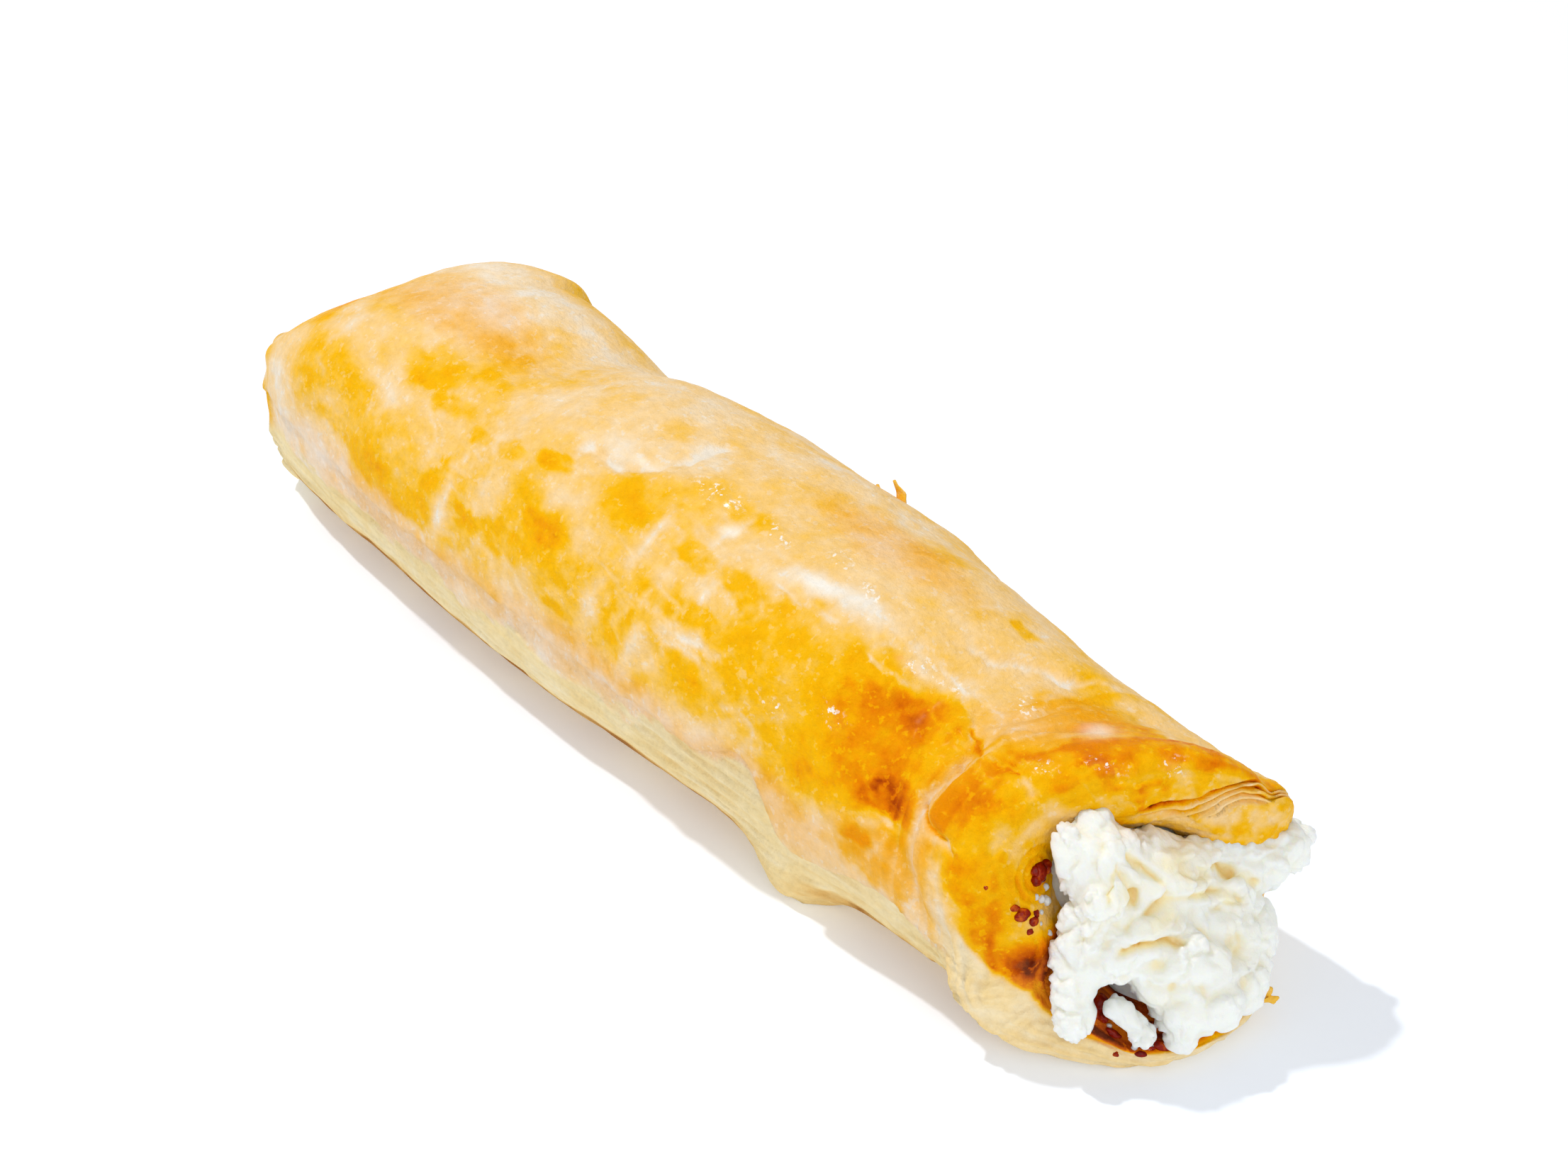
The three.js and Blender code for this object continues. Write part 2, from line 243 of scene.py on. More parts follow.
def skin(along, angle):
    """Outer skin: the plain section moved out by the hem's step, the tongues of dough, the pressed crease,
    the fold edge on the +Y side and slow lumps, cut flat at the floor and drawn out to the slanted rim."""
    across, level = section(along, angle)
    degrees = np.degrees(angle)
    under = below_hem(along, angle, level)
    nearness = ramp(along, HEM_STEP["start"], HEM_STEP["end"])
    rise = -(HEM_STEP["far"] + (HEM_STEP["near"] - HEM_STEP["far"]) * nearness) * under
    for at, reach, middle, spread, out in TONGUES:
        tongue = out * bell(along, at, reach) * bell(level, middle, spread)
        rise = rise + np.where(np.cos(angle) < 0, tongue, 0)
    crease = CREASE["at"] + CREASE["bend"] * (degrees - CREASE["angle"]) ** 2
    rise = rise - CREASE["depth"] * bell(along, crease, CREASE["reach"]) * (1 - under)
    shoulder = 1 - ramp(along, SHOULDER["from"], SHOULDER["to"])
    rise = rise + SHOULDER["step"] * shoulder * bell(degrees, SHOULDER["angle"], SHOULDER["spread"])
    for stride, turns, phase, height in LUMPS:
        rise = rise + height * (1 - under) * np.sin(stride * along + turns * angle + phase)
    follow = ramp(along, MOUTH_START, NEAR_RIM) * rim_reach(angle)
    place = (along + follow, across + rise * np.cos(angle), np.maximum(0, level + rise * np.sin(angle)))
    return np.stack(np.broadcast_arrays(*place), -1)


def bore(along, angle, clearance):
    """Wall of the bore: a superellipse inside the skin by the wall's thickness, less a clearance, with the
    inner fold of crust hanging into the mouth."""
    half, height, centre, _, _ = roll_size(along)
    wall = FAR_WALL_SHARE + (1 - FAR_WALL_SHARE) * ramp(along, FAR_END, MOUTH_START)
    half = half - SIDE_WALL * wall - clearance
    floor = FLOOR_WALL * wall + clearance
    crown = height - CROWN_WALL * wall - clearance
    mouth = ramp(along, MOUTH_START, NEAR_RIM)
    hang = mouth * INNER_FOLD["hang"] * bell(np.degrees(angle), INNER_FOLD["angle"], INNER_FOLD["spread"])
    place = (
        along + mouth * rim_reach(angle),
        centre + mouth * BORE_SHIFT + half * signed_power(np.cos(angle), 2 / BORE_POWER),
        (floor + crown) / 2 + (crown - floor) / 2 * signed_power(np.sin(angle), 2 / BORE_POWER) - hang,
    )
    return np.stack(np.broadcast_arrays(*place), -1)


def near_rim(angle, turn):
    """Rounded end of the wall: half an ellipse from the skin over to the bore, boxier on the ear and thinner
    on the lip. The bore's edge is drawn in or out towards its middle to shape the mouth."""
    degrees = np.degrees(angle)
    outside = skin(np.full_like(angle, NEAR_RIM), angle)
    inside = bore(np.full_like(angle, NEAR_RIM), angle, 0)
    inset = np.interp(degrees, MOUTH_ANGLES, MOUTH_INSETS)
    inside[..., 1] -= inset * np.cos(angle)
    inside[..., 2] -= inset * np.sin(angle)
    power = 1 - (1 - EAR_FACE["power"]) * bell(degrees, EAR_FACE["angle"], EAR_FACE["spread"])
    power = power + LIP_EDGE["power"] * bell(degrees, LIP_EDGE["angle"], LIP_EDGE["spread"])
    share = ((1 - signed_power(np.cos(turn), power)) / 2)[..., None]
    place = outside + (inside - outside) * share
    depth = RIM_DEPTH - RIM_DEPTH_SKEW * np.cos(angle)
    depth = depth * (1 - LIP_SHARPER["share"] * bell(degrees, LIP_SHARPER["angle"], LIP_SHARPER["spread"]))
    place[..., 0] += depth * signed_power(np.sin(turn), power)
    return place


def far_rim(angle, turn):
    """The same round at the far end, from the bore out to the skin."""
    outside = skin(np.full_like(angle, float(FAR_END)), angle)
    inside = bore(np.full_like(angle, float(FAR_END)), angle, 0)
    share = ((1 - np.cos(turn)) / 2)[..., None]
    place = inside + (outside - inside) * share
    place[..., 0] -= FAR_RIM_DEPTH * np.sin(turn)
    return place


def loop_normals(grid):
    """Outward normals of a grid that closes on itself both ways: the cross product of its two steps."""
    across = np.roll(grid, -1, 1) - np.roll(grid, 1, 1)
    onward = np.roll(grid, -1, 0) - np.roll(grid, 1, 0)
    normals = np.cross(across, onward)
    return normals / (np.linalg.norm(normals, axis=-1, keepdims=True) + 1e-12)


def grid_piece(name, grid, attributes):
    """Mesh object from a closed grid of points in millimetres: each quad joins a point with the next ones
    along and across, the last row and column with the first. Attributes are one number for each point."""
    rows, sides = grid.shape[:2]
    index = np.arange(rows * sides).reshape(rows, sides)
    corners = (index, np.roll(index, -1, 1), np.roll(np.roll(index, -1, 0), -1, 1), np.roll(index, -1, 0))
    quads = np.stack(corners, -1).reshape(-1, 4)
    values = {key: value.ravel() for key, value in attributes.items()}
    return mesh_piece(name, grid.reshape(-1, 3), quads, values)


def mesh_piece(name, points, faces, attributes):
    """Mesh object from points in millimetres, faces of equal corner counts and attributes of the points."""
    mesh = bpy.data.meshes.new(name)
    mesh.vertices.add(len(points))
    mesh.vertices.foreach_set("co", (points * MM).astype(np.float32).ravel())
    mesh.loops.add(faces.size)
    mesh.loops.foreach_set("vertex_index", faces.astype(np.int32).ravel())
    mesh.polygons.add(len(faces))
    mesh.polygons.foreach_set("loop_start", np.arange(0, faces.size, faces.shape[1], dtype=np.int32))
    mesh.polygons.foreach_set("use_smooth", np.ones(len(faces), bool))
    mesh.update(calc_edges=True)
    for key, value in attributes.items():
        layer = mesh.attributes.new(key, "FLOAT", "POINT")
        layer.data.foreach_set("value", np.broadcast_to(value, len(points)).astype(np.float32))
    piece = bpy.data.objects.new(name, mesh)
    bpy.context.scene.collection.objects.link(piece)
    return piece


crust_angles = spaced(0, 2 * np.pi, CRUST_SIDES, lambda a: 0.45 + 0.75 * plateau(a, *SEEN_SIDE))
skin_along = spaced(FAR_END, NEAR_RIM, SKIN_ROWS, lambda x: 1 + 0.8 * ramp(x, 5, 25))
rim_turn = spaced(0, np.pi, RIM_ROWS, lambda t: 1 + 1.5 * bell(t, 1.1, 0.7))
bore_along = spaced(NEAR_RIM, FAR_END, BORE_ROWS, lambda x: 1 + 0 * x)
far_turn = spaced(0, np.pi, FAR_RIM_ROWS, lambda t: 1 + 0 * t)

skin_grid = skin(*np.meshgrid(skin_along, crust_angles, indexing="ij"))
turns, rim_angles = np.meshgrid(rim_turn, crust_angles, indexing="ij")
rim_grid = near_rim(rim_angles, turns)
bore_grid = bore(*np.meshgrid(bore_along, crust_angles, indexing="ij"), 0)
turns_far, far_angles = np.meshgrid(far_turn, crust_angles, indexing="ij")
far_grid = far_rim(far_angles, turns_far)
plain_grid = np.concatenate([skin_grid, rim_grid, bore_grid, far_grid])

# Places along go on over the rims, so that one field of browning covers skin and rims.
crust_rows = np.concatenate([
    skin_along,
    NEAR_RIM + RIM_ARC * rim_turn / np.pi,
    np.full(BORE_ROWS, NEAR_RIM + RIM_ARC),
    FAR_END - RIM_ARC / 2 * (1 - far_turn / np.pi),
])
along, degrees = np.meshgrid(crust_rows, np.degrees(crust_angles), indexing="ij")

WASHES = (  # broad golden stretches: place along, angle, reach, spread, lean, share that is golden
    (-55, 22, 16, 20, 0, 0.6),
    (-12, 34, 20, 16, 0.4, 0.55),
    (28, 18, 16, 20, -0.5, 0.66),
    (54, 36, 9, 18, 0, 0.6),
    (-62, 152, 14, 15, 0, 0.52),
    (-42, 158, 20, 12, 0, 0.72),
    (-38, 118, 14, 14, 0, 0.56),
    (-12, 150, 17, 17, 0, 0.66),
    (-6, 120, 12, 9, 0, 0.56),
    (4, 140, 9, 20, 0, 0.45),
    (-60, 92, 10, 8, 0, 0.3),
    (8, 104, 14, 6, 0, 0.52),
    (34, 140, 15, 26, 0, 1.0),
    (50, 150, 7, 14, 0, 0.9),
    (63.5, 131, 4.6, 17, 0, 1.0),
    (67, 85, 4, 30, 0, 1.0),
    (67.5, 165, 3, 20, 0, 0.9),
    (36, 84, 10, 13, 0, 0.0),
    (20, 92, 8, 8, 0, 0.1),
    (56, 86, 5, 16, 0, 0.1),
)
BLOTCHES = (  # place along, angle, reach, spread, lean, tone
    (-50, 18, 8, 9, 0.6, 0.58),
    (-18, 38, 9, 6, 0, 0.57),
    (24, 14, 10, 8, -0.5, 0.6),
    (42, 34, 7, 7, 0, 0.6),
    (-57, 164, 8, 4, 0, 0.54),
    (-50, 163.5, 8, 4, 0, 0.55),
    (-43, 167, 8, 5, 0, 0.57),
    (-37, 165, 6, 6, 0, 0.54),
    (-66, 156, 3, 9, 0, 0.55),
    (-34, 150, 2.2, 7, -4, 0.56),
    (-47, 121, 6, 5.5, 0, 0.55),
    (-42, 117, 3, 6, 0, 0.55),
    (-37.5, 126, 3.6, 5, 0, 0.58),
    (-37, 107, 3, 5, 0, 0.56),
    (-24, 127, 3, 3.6, 0, 0.55),
    (-20, 156, 8, 6, 0, 0.55),
    (-12.5, 144, 5, 5, 0, 0.57),
    (-7, 166, 4, 3, 0.6, 0.56),
    (-17, 122, 3.4, 4.4, 0, 0.56),
    (-3, 122, 6, 7, 0, 0.57),
    (5, 120, 3, 6, 0, 0.48),
    (-38, 98, 3, 6, 0, 0.54),
    (-30, 129, 3.4, 4.4, 0, 0.55),
    (-73, 108, 4, 17, 0, 0.6),
    (4, 111, 9, 4, 0, 0.44),
    (-17, 113, 4, 4, 0, 0.4),
    (10, 104, 3, 4, 0, 0.5),
    (49, 177, 9, 5, 0, 0.42),
    (-74.5, 117, 2.4, 8, -1.6, 0.56),
    (2, 168, 3.2, 2.8, 0, 0.5),
    (6, 145, 4.6, 5, 0, 0.5),
    (10.5, 141, 2.6, 5.6, 0, 0.51),
    (15, 140, 5, 5, 0, 0.52),
    (14, 156, 4, 4.6, 0, 0.5),
    (9, 124, 3.4, 5, 0, 0.49),
    (18, 123, 4.4, 5, 0, 0.5),
    (0, 106, 2.2, 9, 0, 0.52),
    (42.5, 71, 2.2, 3, 0, 0.5),
    (32, 137, 15, 19, 0, 0.53),
    (27, 132, 8, 12, 0, 0.53),
    (31, 151, 7, 9, 0, 0.54),
    (37, 140, 7, 20, 0, 0.58),
    (37, 161, 7, 6, 0, 0.57),
    (47, 134, 11.5, 24, 0, 0.67),
    (40.5, 134, 4.4, 8, 0, 0.73),
    (42.5, 123, 4.6, 9, 0, 0.8),
    (46, 133, 6, 9, 0, 0.74),
    (51.5, 148, 6.4, 8, 0, 0.82),
    (46, 151, 3, 3.4, 0, 0.76),
    (45.6, 148.5, 0.9, 1.5, 0, 0.84),
    (45.5, 169, 2.6, 4, 0, 0.64),
    (37.5, 107, 2.8, 4, 0, 0.6),
    (43.5, 97.5, 3.6, 4.6, 0, 0.58),
    (52, 87, 2.6, 4.6, 0, 0.57),
    (40, 97, 8, 9, 0, 0.37),
    (-31, 98, 5, 8, 0, 0.42),
    (56, 82, 7, 16, 0, 0.57),
    (62.6, 131, 3.8, 17, 0, 0.68),
    (65, 91, 4, 18, 0, 0.64),
    (64.5, 96, 3.4, 12, 0, 0.8),
    (65, 109, 2.8, 11, 0, 0.64),
    (65, 74, 3.4, 12, 0, 0.72),
    (67.5, 160, 3.4, 16, 0, 0.74),
    (69.5, 90, 3, 10, 0, 0.72),
    (66, 52, 2.6, 16, 0, 0.72),
)
PALES = (  # soft pale places, as the blotches
    (-16, 77, 13, 18, 0, 0.12),
    (-52, 71, 12, 16, 0, 0.0),
    (-24, 106, 6, 8, 0, 0.2),
    (-36, 66, 8, 10, 0, 0.1),
    (12, 66, 14, 12, 0, 0.12),
    (-75, 158, 4, 22, 0, 0.06),
    (-62, 178, 9, 7, 0, 0.02),
    (-50, 134, 5, 5, 0, 0.2),
    (-61, 117, 7, 11, 0, 0.22),
    (-46, 106, 5, 4, 0, 0.24),
    (-11, 132, 4, 5, 0, 0.22),
    (11, 161, 3, 4, 0, 0.22),
    (20, 173, 6, 7, 0, 0.08),
    # The next place is partly the crown's pale crust and partly the light's sheen on it, painted as a pale
    # tone.
    (26.5, 109.5, 9, 4.6, -0.3, 0.1),
    (-9, 105, 6, 6, 0, 0.17),
    (-2, 96, 4, 6, 0, 0.16),
    (7.8, 136, 1.6, 4, 0, 0.14),
    (10, 111, 1.3, 3, 0, 0.14),
    (-1.6, 160, 1.5, 14, 0, 0.2),
    (8, 163, 1.9, 15, -4, 0.16),
    (2.5, 134, 1.6, 8, 0, 0.24),
    (15, 132, 4, 3.4, 0, 0.24),
    (14, 148, 5, 3.4, 0, 0.24),
    (-31.5, 162, 1.3, 14, -3, 0.22),
    (57.4, 148, 2.2, 6, 0, 0.2),
    (58, 136, 1.3, 7, 0, 0.3),
    (61, 150, 3, 2.6, 0, 0.2),
    (57, 167, 5, 7, 0, 0.34),
    (62.6, 172, 3, 10, 0, 0.16),
    (49.5, 80, 3.4, 8, 0, 0.34),
    (55, 102, 4, 7, 0, 0.34),
    (47, 162, 2, 3.4, -1, 0.24),
    (32, 104, 4, 5, 0, 0.1),
    (11, 91, 4, 5, 0, 0.2),
)
CRACKS = (  # width, then places along and angles
    (0.375, (-35, 176), (-32, 163), (-30.5, 150), (-30, 138)),
    (0.375, (9.5, 146), (14, 147.5), (22, 147)),
    (0.375, (2, 138), (2.5, 125), (2.5, 112)),
    (0.375, (10.2, 134), (10, 115), (10.5, 100)),
    (0.375, (55, 142), (57.5, 134), (58, 126), (56, 118), (52, 110.5), (47, 104.5), (41, 101)),
    (0.375, (40, 92), (44, 88), (47, 82), (49.4, 76), (50, 66), (50.5, 58)),
    (0.6, (-16, 112), (-8, 111), (-5, 105), (-3, 98), (-2, 88)),
    (0.375, (24, 161), (26, 158.5), (27.5, 160), (27, 176)),
    (0.2625, (57, 143), (60, 146), (63, 148), (64.2, 154)),
    (0.2625, (54, 141), (55.4, 137.5), (56, 133)),
    (0.3, (60, 118), (64.5, 119), (67, 121)),
    (0.45, (41, 170), (44, 162), (46.5, 156.5), (50, 158), (56, 157)),
    (0.375, (47.5, 174), (50, 164), (51, 160)),
    (0.3, (36, 115), (39, 116.5), (41.5, 113)),
    (0.3, (20, 116), (26, 117), (31, 116)),
    (0.3, (12, 151), (16, 150), (20, 151)),
)
BANDS = (  # streaked bands of stretched dough, as the cracks
    (2.4, (57.6, 142), (58.2, 150), (59.4, 165), (60.6, 180), (62, 200)),
)
WEBS = (  # places where the skin tore into a web of pale lines, as the blushes
    (8, 142, 13, 30, 0),
    (-29, 150, 8, 22, 0),
    (40, 106, 12, 8, 0),
)
FOLDS = (  # grooves and ridges of the pinched waist: width, height, then places along and angles
    (0.8, -0.6, (50, 105), (53, 111), (56, 118), (57.8, 125)),
    (1.2, -0.35, (57.8, 125), (57.6, 134), (56.6, 142)),
    (1.6, 0.6, (55.4, 106), (58.8, 115), (60.4, 126), (60.6, 140)),
    (0.8, -0.4, (55, 110), (57, 98), (60, 86)),
    (0.8, -0.35, (53, 106), (53, 92), (52, 78)),
    (0.8, 0.3, (56.4, 106), (55, 92), (56, 78)),
    (0.9, -0.4, (56, 119), (51, 122), (47, 125)),
    (0.5, -0.4, (57, 143), (60, 146), (63, 148), (64.2, 154)),
    (0.6, -0.35, (60.5, 118), (64.5, 119), (67, 121)),
    (1.2, 0.3, (5.5, 178), (7.3, 166), (8.8, 157), (10.3, 149)),
    (1.0, -0.25, (8, 166), (10.5, 158), (12, 150)),
    (0.9, -0.4, (-16, 112), (-8, 111), (-5, 105), (-3, 98), (-2, 88)),
    (1.0, 0.35, (-13, 116), (-6, 113), (-1, 106)),
    (0.8, -0.3, (40, 92), (44, 88), (47, 82), (49.4, 76), (50, 66)),
)
THREADS = (  # brown lines in the pinch: width, then places along and angles
    (0.26, (52.6, 112), (55, 115.6), (57, 119.4), (58.4, 120)),
    (0.2, (57, 143.4), (60, 146.4), (63, 148.4)),
    (0.2, (60.6, 118.6), (64, 119.4)),
)
BLUSHES = (  # pinker stretches of the skin: place along, angle, reach, spread, lean
    (57, 92, 7, 24, 0),
    (58, 150, 4.5, 34, 0),
    (50, 172, 9, 12, 0),
    (10, 178, 45, 8, 0),
    (-45, 178, 30, 7, 0),
    (-52, 95, 16, 12, 0),
    (25, 80, 12, 10, 0),
)
GLINTS = (  # bubbles in the egg wash that catch the light, as the blushes
    (41, 107.5, 2.6, 4, 0),
    (45.5, 103.5, 1.6, 2.6, 0),
    (51, 93, 1.8, 3, 0),
    (37, 140, 1.6, 4, 0),
    (29, 150, 1.2, 3, 0),
    (30, 101, 2.4, 3, 0),
    (23.5, 96, 2, 3, 0),
    (15, 102, 2, 2.6, 0),
    (4, 103, 4, 3, 0),
    (66.5, 96, 1.3, 3, 0),
    (64.5, 112, 1.2, 3, 0),
    (67.5, 80, 1.2, 3, 0),
)
# The sheens are painted highlights: the light's soft white sheen on the crown, mixed into the crust's colour.
PAINTED_SHEENS = (  # soft white sheen of the light on the crown, as the blushes
    (25.5, 109.5, 6, 3.6, -0.4),
    (31, 106, 4, 2.6, 0),
    (41, 108, 1.8, 2.6, 0),
    (10, 111, 1.4, 2.4, 0),
    (-6, 105, 3.4, 1.8, 0),
    (60, 88, 1.6, 5, 0),
    (-64, 76, 8, 8, 0),
)
# Browning from 0, pale, to 1, dark: the plain skin's tone at angles round the roll, and what is laid over it.
TONE_ANGLES = (0, 30, 60, 100, 116, 140, 160, 168, 177, 190, 240, 290, 300, 330, 360)
TONES = (0.42, 0.35, 0.29, 0.29, 0.34, 0.37, 0.38, 0.33, 0.2, 0.15, 0.4, 0.4, 0.25, 0.32, 0.42)
STRAY = {"along": 0.9, "round": 2.6}  # how far slow noise moves every patch from its plain place
FRAY = {"along": 0.3, "round": 0.9, "blotch": 0.3}  # and how far fine noise frays its edge
PLAIN_GOLDEN = 0.24  # golden share of the skin between the washes
GOLDEN_TONE = 0.55
GOLDEN_SPAN = (5, 40, 172, 180)  # angles between which the skin can be golden
FAR_PALER = {"from": -25, "to": 5, "by": 0.06}
PATCHES = {"size": 8, "draw": 0.6, "stray": 1.5, "pull": 1.6, "even": 0.5, "low": -0.8, "high": 0.7}
BLOTCH_EDGE = {"low": 0.1, "high": 0.85, "fraying": 4}
PALE_STRENGTH = 0.9
MOTTLES = ((0.09, 4.5, 41), (0.05, 1.5, 43))  # strength, size, seed
BAND = {"tone": 0.26, "streaks": 0.14, "strength": 0.7}
WAIST = {"span": (47, 54, 63, 67), "streaks": 0.1}
VEINS = {"cell": 9, "stray": 1.6, "width": 0.07, "patch": 7, "low": -0.1, "high": 0.5, "seed": 45}
VEIN_STRENGTH = 0.3
WEB = {"cell": 4.6, "stray": 1.2, "width": 0.08, "patch": 4, "low": -0.5, "high": 0.3, "seed": 46}
WEB_STRENGTH = 0.6
TEAR = {"middle": 0.55, "varies": 0.45}
CRACK_PALER = 0.34
THREAD_TONE = 0.78
DARKEST_TONE = 0.9
PAINTED_SHEEN_VEIL = {"middle": 0.4, "varies": 0.4, "most": 0.8}
DEGREE_LENGTH = 0.33  # length of one degree round the roll


def squared_distance(along, degrees, at, around, reach, spread, lean):
    """Squared distance from a place on the skin, along over the reach and round over the spread, where the
    place leans by some degrees for each millimetre along."""
    return ((along - at) / reach) ** 2 + ((degrees - around - lean * (along - at)) / spread) ** 2


def blotch(along, degrees, *place):
    """Oval patch on the skin with a flat middle: exp of minus the fourth power of the distance."""
    return np.exp(-(squared_distance(along, degrees, *place) ** 2))


def soft_spot(along, degrees, *place):
    """Oval patch like a blotch, but fading evenly from its middle: exp of minus the squared distance."""
    return np.exp(-squared_distance(along, degrees, *place))


def path_distance(points, path):
    """Distance of each point from a path of straight stretches."""
    nearest = np.full(points.shape[:-1], np.inf)
    for start, end in zip(np.array(path, float), np.array(path[1:], float)):
        run = end - start
        share = np.clip((points - start) @ run / (run @ run), 0, 1)
        nearest = np.minimum(nearest, np.linalg.norm(points - start - share[..., None] * run, axis=-1))
    return nearest


def crack(along, degrees, width, *path):
    """Thin line on the skin along a path of places and angles: a bell of the distance from it."""
    scale = (1, DEGREE_LENGTH)
    return bell(path_distance(np.stack([along, degrees], -1) * scale, np.array(path) * scale), 0, width)


def skin_noise(size, octaves, seed, draw=1):
    """Rough noise over the plain skin, drawn out along the roll where the draw is below one."""
    return rough(plain_grid * (draw, 1, 1), size, octaves, seed)


def skin_lines(width, length, seed, shift=0):
    """Uneven lines round the roll: noise so many millimetres wide along it and so many degrees long."""
    return noise(np.stack([along / width + shift, degrees / length, 0 * along], -1), 1, seed)


def vein_lines(cell, stray, width, patch, low, high, seed):
    """Lines along the borders of cells, a bell of the distance from them, shown in patches of noise."""
    shown = ramp(skin_noise(patch, 2, seed + 2), low, high)
    return bell(cell_borders(plain_grid + stray * drift, cell, seed), 0, width) * shown


def strewn(shape, places):
    """The largest of a shape's values over a list of its places, on the strayed skin."""
    return np.max([shape(strayed_along, strayed_degrees, *place) for place in places], axis=0)


def laid_over(field, value, share):
    """The field moved towards a value by a share from 0 to 1."""
    return field + (value - field) * share


# Places on the skin, moved by noise so that no patch keeps a plain oval edge.
wander = np.stack([skin_noise(size=6, octaves=4, seed=seed) for seed in (21, 31)], -1)
frayed = np.stack([skin_noise(size=1.4, octaves=2, seed=seed) for seed in (23, 33)], -1)
drift = wander[..., [0, 1, 0]]
strayed_along = along + STRAY["along"] * wander[..., 0] + FRAY["along"] * frayed[..., 0]
strayed_degrees = degrees + STRAY["round"] * wander[..., 1] + FRAY["round"] * frayed[..., 1]

# Golden washes, blotches and pale places, each laid over the last.
bake = np.interp(strayed_degrees, TONE_ANGLES, TONES)
golden_share = np.full(along.shape, PLAIN_GOLDEN)
for *place, golden in WASHES:
    golden_share = laid_over(golden_share, golden, blotch(strayed_along, strayed_degrees, *place))
patches = rough((plain_grid + PATCHES["stray"] * drift) * (PATCHES["draw"], 1, 1), PATCHES["size"], 3, 25)
patches = ramp(patches + PATCHES["pull"] * (golden_share - PATCHES["even"]), PATCHES["low"], PATCHES["high"])
patches = patches * plateau(strayed_degrees, *GOLDEN_SPAN)
golden_tone = GOLDEN_TONE - FAR_PALER["by"] * (1 - ramp(along, FAR_PALER["from"], FAR_PALER["to"]))
bake = laid_over(bake, golden_tone, patches)
frays = FRAY["blotch"] * skin_noise(size=3, octaves=4, seed=27)
for *place, tone in BLOTCHES:
    spot = blotch(strayed_along, strayed_degrees, *place)
    spot = spot + frays * np.minimum(1, BLOTCH_EDGE["fraying"] * spot)
    bake = laid_over(bake, tone, ramp(spot, BLOTCH_EDGE["low"], BLOTCH_EDGE["high"]))
for *place, tone in PALES:
    spot = soft_spot(strayed_along, strayed_degrees, *place) * (PALE_STRENGTH + frays)
    bake = laid_over(bake, tone, np.clip(spot, 0, 1))
for strength, size, seed in MOTTLES:
    bake += strength * skin_noise(size, 2, seed)

# Streaks of the stretched dough at the waist.
streaks = skin_lines(width=0.8, length=40, seed=55)
band = strewn(crack, BANDS)
stretched = plateau(strayed_along, *WAIST["span"])
bake = laid_over(bake, BAND["tone"] + BAND["streaks"] * streaks, BAND["strength"] * band)
bake += WAIST["streaks"] * streaks * stretched

# Pale veins, webs and cracks, and the brown threads in the pinch.
cracks = VEIN_STRENGTH * vein_lines(**VEINS)
cracks = np.maximum(cracks, WEB_STRENGTH * vein_lines(**WEB) * strewn(blotch, WEBS))
tear = TEAR["middle"] + TEAR["varies"] * skin_noise(size=2.5, octaves=2, seed=49)
cracks = np.maximum(cracks, tear * strewn(crack, CRACKS))
bake -= CRACK_PALER * cracks
for width, *path in THREADS:
    bake = laid_over(bake, THREAD_TONE, crack(strayed_along, strayed_degrees, width, *path))
bake = np.minimum(bake, DARKEST_TONE)

# Shares from 0 to 1 of pinker skin, of bubbles that glint and of the light's white sheen, a painted
# highlight.
blush = strewn(blotch, BLUSHES)
glint = strewn(blotch, GLINTS)
veiled = PAINTED_SHEEN_VEIL["middle"] + PAINTED_SHEEN_VEIL["varies"] * skin_noise(size=2.5, octaves=3, seed=44, draw=0.4)
painted_sheen = strewn(soft_spot, PAINTED_SHEENS) * np.clip(veiled, 0, PAINTED_SHEEN_VEIL["most"])

# Open layers on the ear: slits between an upper and a lower edge, deepest above and broken along them.
EAR_LAYERS = {"span": (22, 30, 92, 100), "spacing": 10, "stray": 0.6, "waver": 0.9}
EAR_SLIT_ANGLES = (25, 45, 52, 62, 74, 81, 88, 100)
EAR_SLIT_TURNS = (26, 34, 38, 46, 65, 80, 96, 110)  # the upper edge of the layers
EAR_FOLD_TURNS = (44, 57, 66, 78, 92, 98, 108, 112)  # and their lower edge
EAR_TONE = {"layers": 0.34, "strength": 0.9, "slits": 0.3}


def layer_noise(length, layers, seed):
    """Noise so many degrees long and so many layers high on the ear's open end."""
    return noise(np.stack([degrees / length, layer / layers, 0 * layer], -1), 1, seed)


turn_degrees = np.clip((along - NEAR_RIM) / RIM_ARC, 0, 1) * 180
slit_turn = np.interp(degrees, EAR_SLIT_ANGLES, EAR_SLIT_TURNS)
fold_turn = np.interp(degrees, EAR_SLIT_ANGLES, EAR_FOLD_TURNS)
layer = (turn_degrees - slit_turn) / EAR_LAYERS["spacing"] + EAR_LAYERS["stray"] * wander[..., 0]
layer = layer + EAR_LAYERS["waver"] * layer_noise(length=13, layers=2.5, seed=64)
layer_count = (fold_turn - slit_turn) / EAR_LAYERS["spacing"]
on_ear = plateau(degrees, *EAR_LAYERS["span"]) * plateau(layer, -0.5, -0.2, layer_count, layer_count + 0.5)
broken = ramp(layer_noise(length=14, layers=2, seed=65), -0.7, 0.1)
slits = (0.5 + 0.5 * np.cos(2 * np.pi * layer)) ** 2 * np.clip(1.3 - 0.2 * layer, 0.3, 1.3) * on_ear * broken
between = on_ear * ramp(layer, 0.1, 0.4) * (1 - ramp(slits, 0.1, 0.6))
bake = laid_over(bake, EAR_TONE["layers"], EAR_TONE["strength"] * between)
bake += EAR_TONE["slits"] * slits

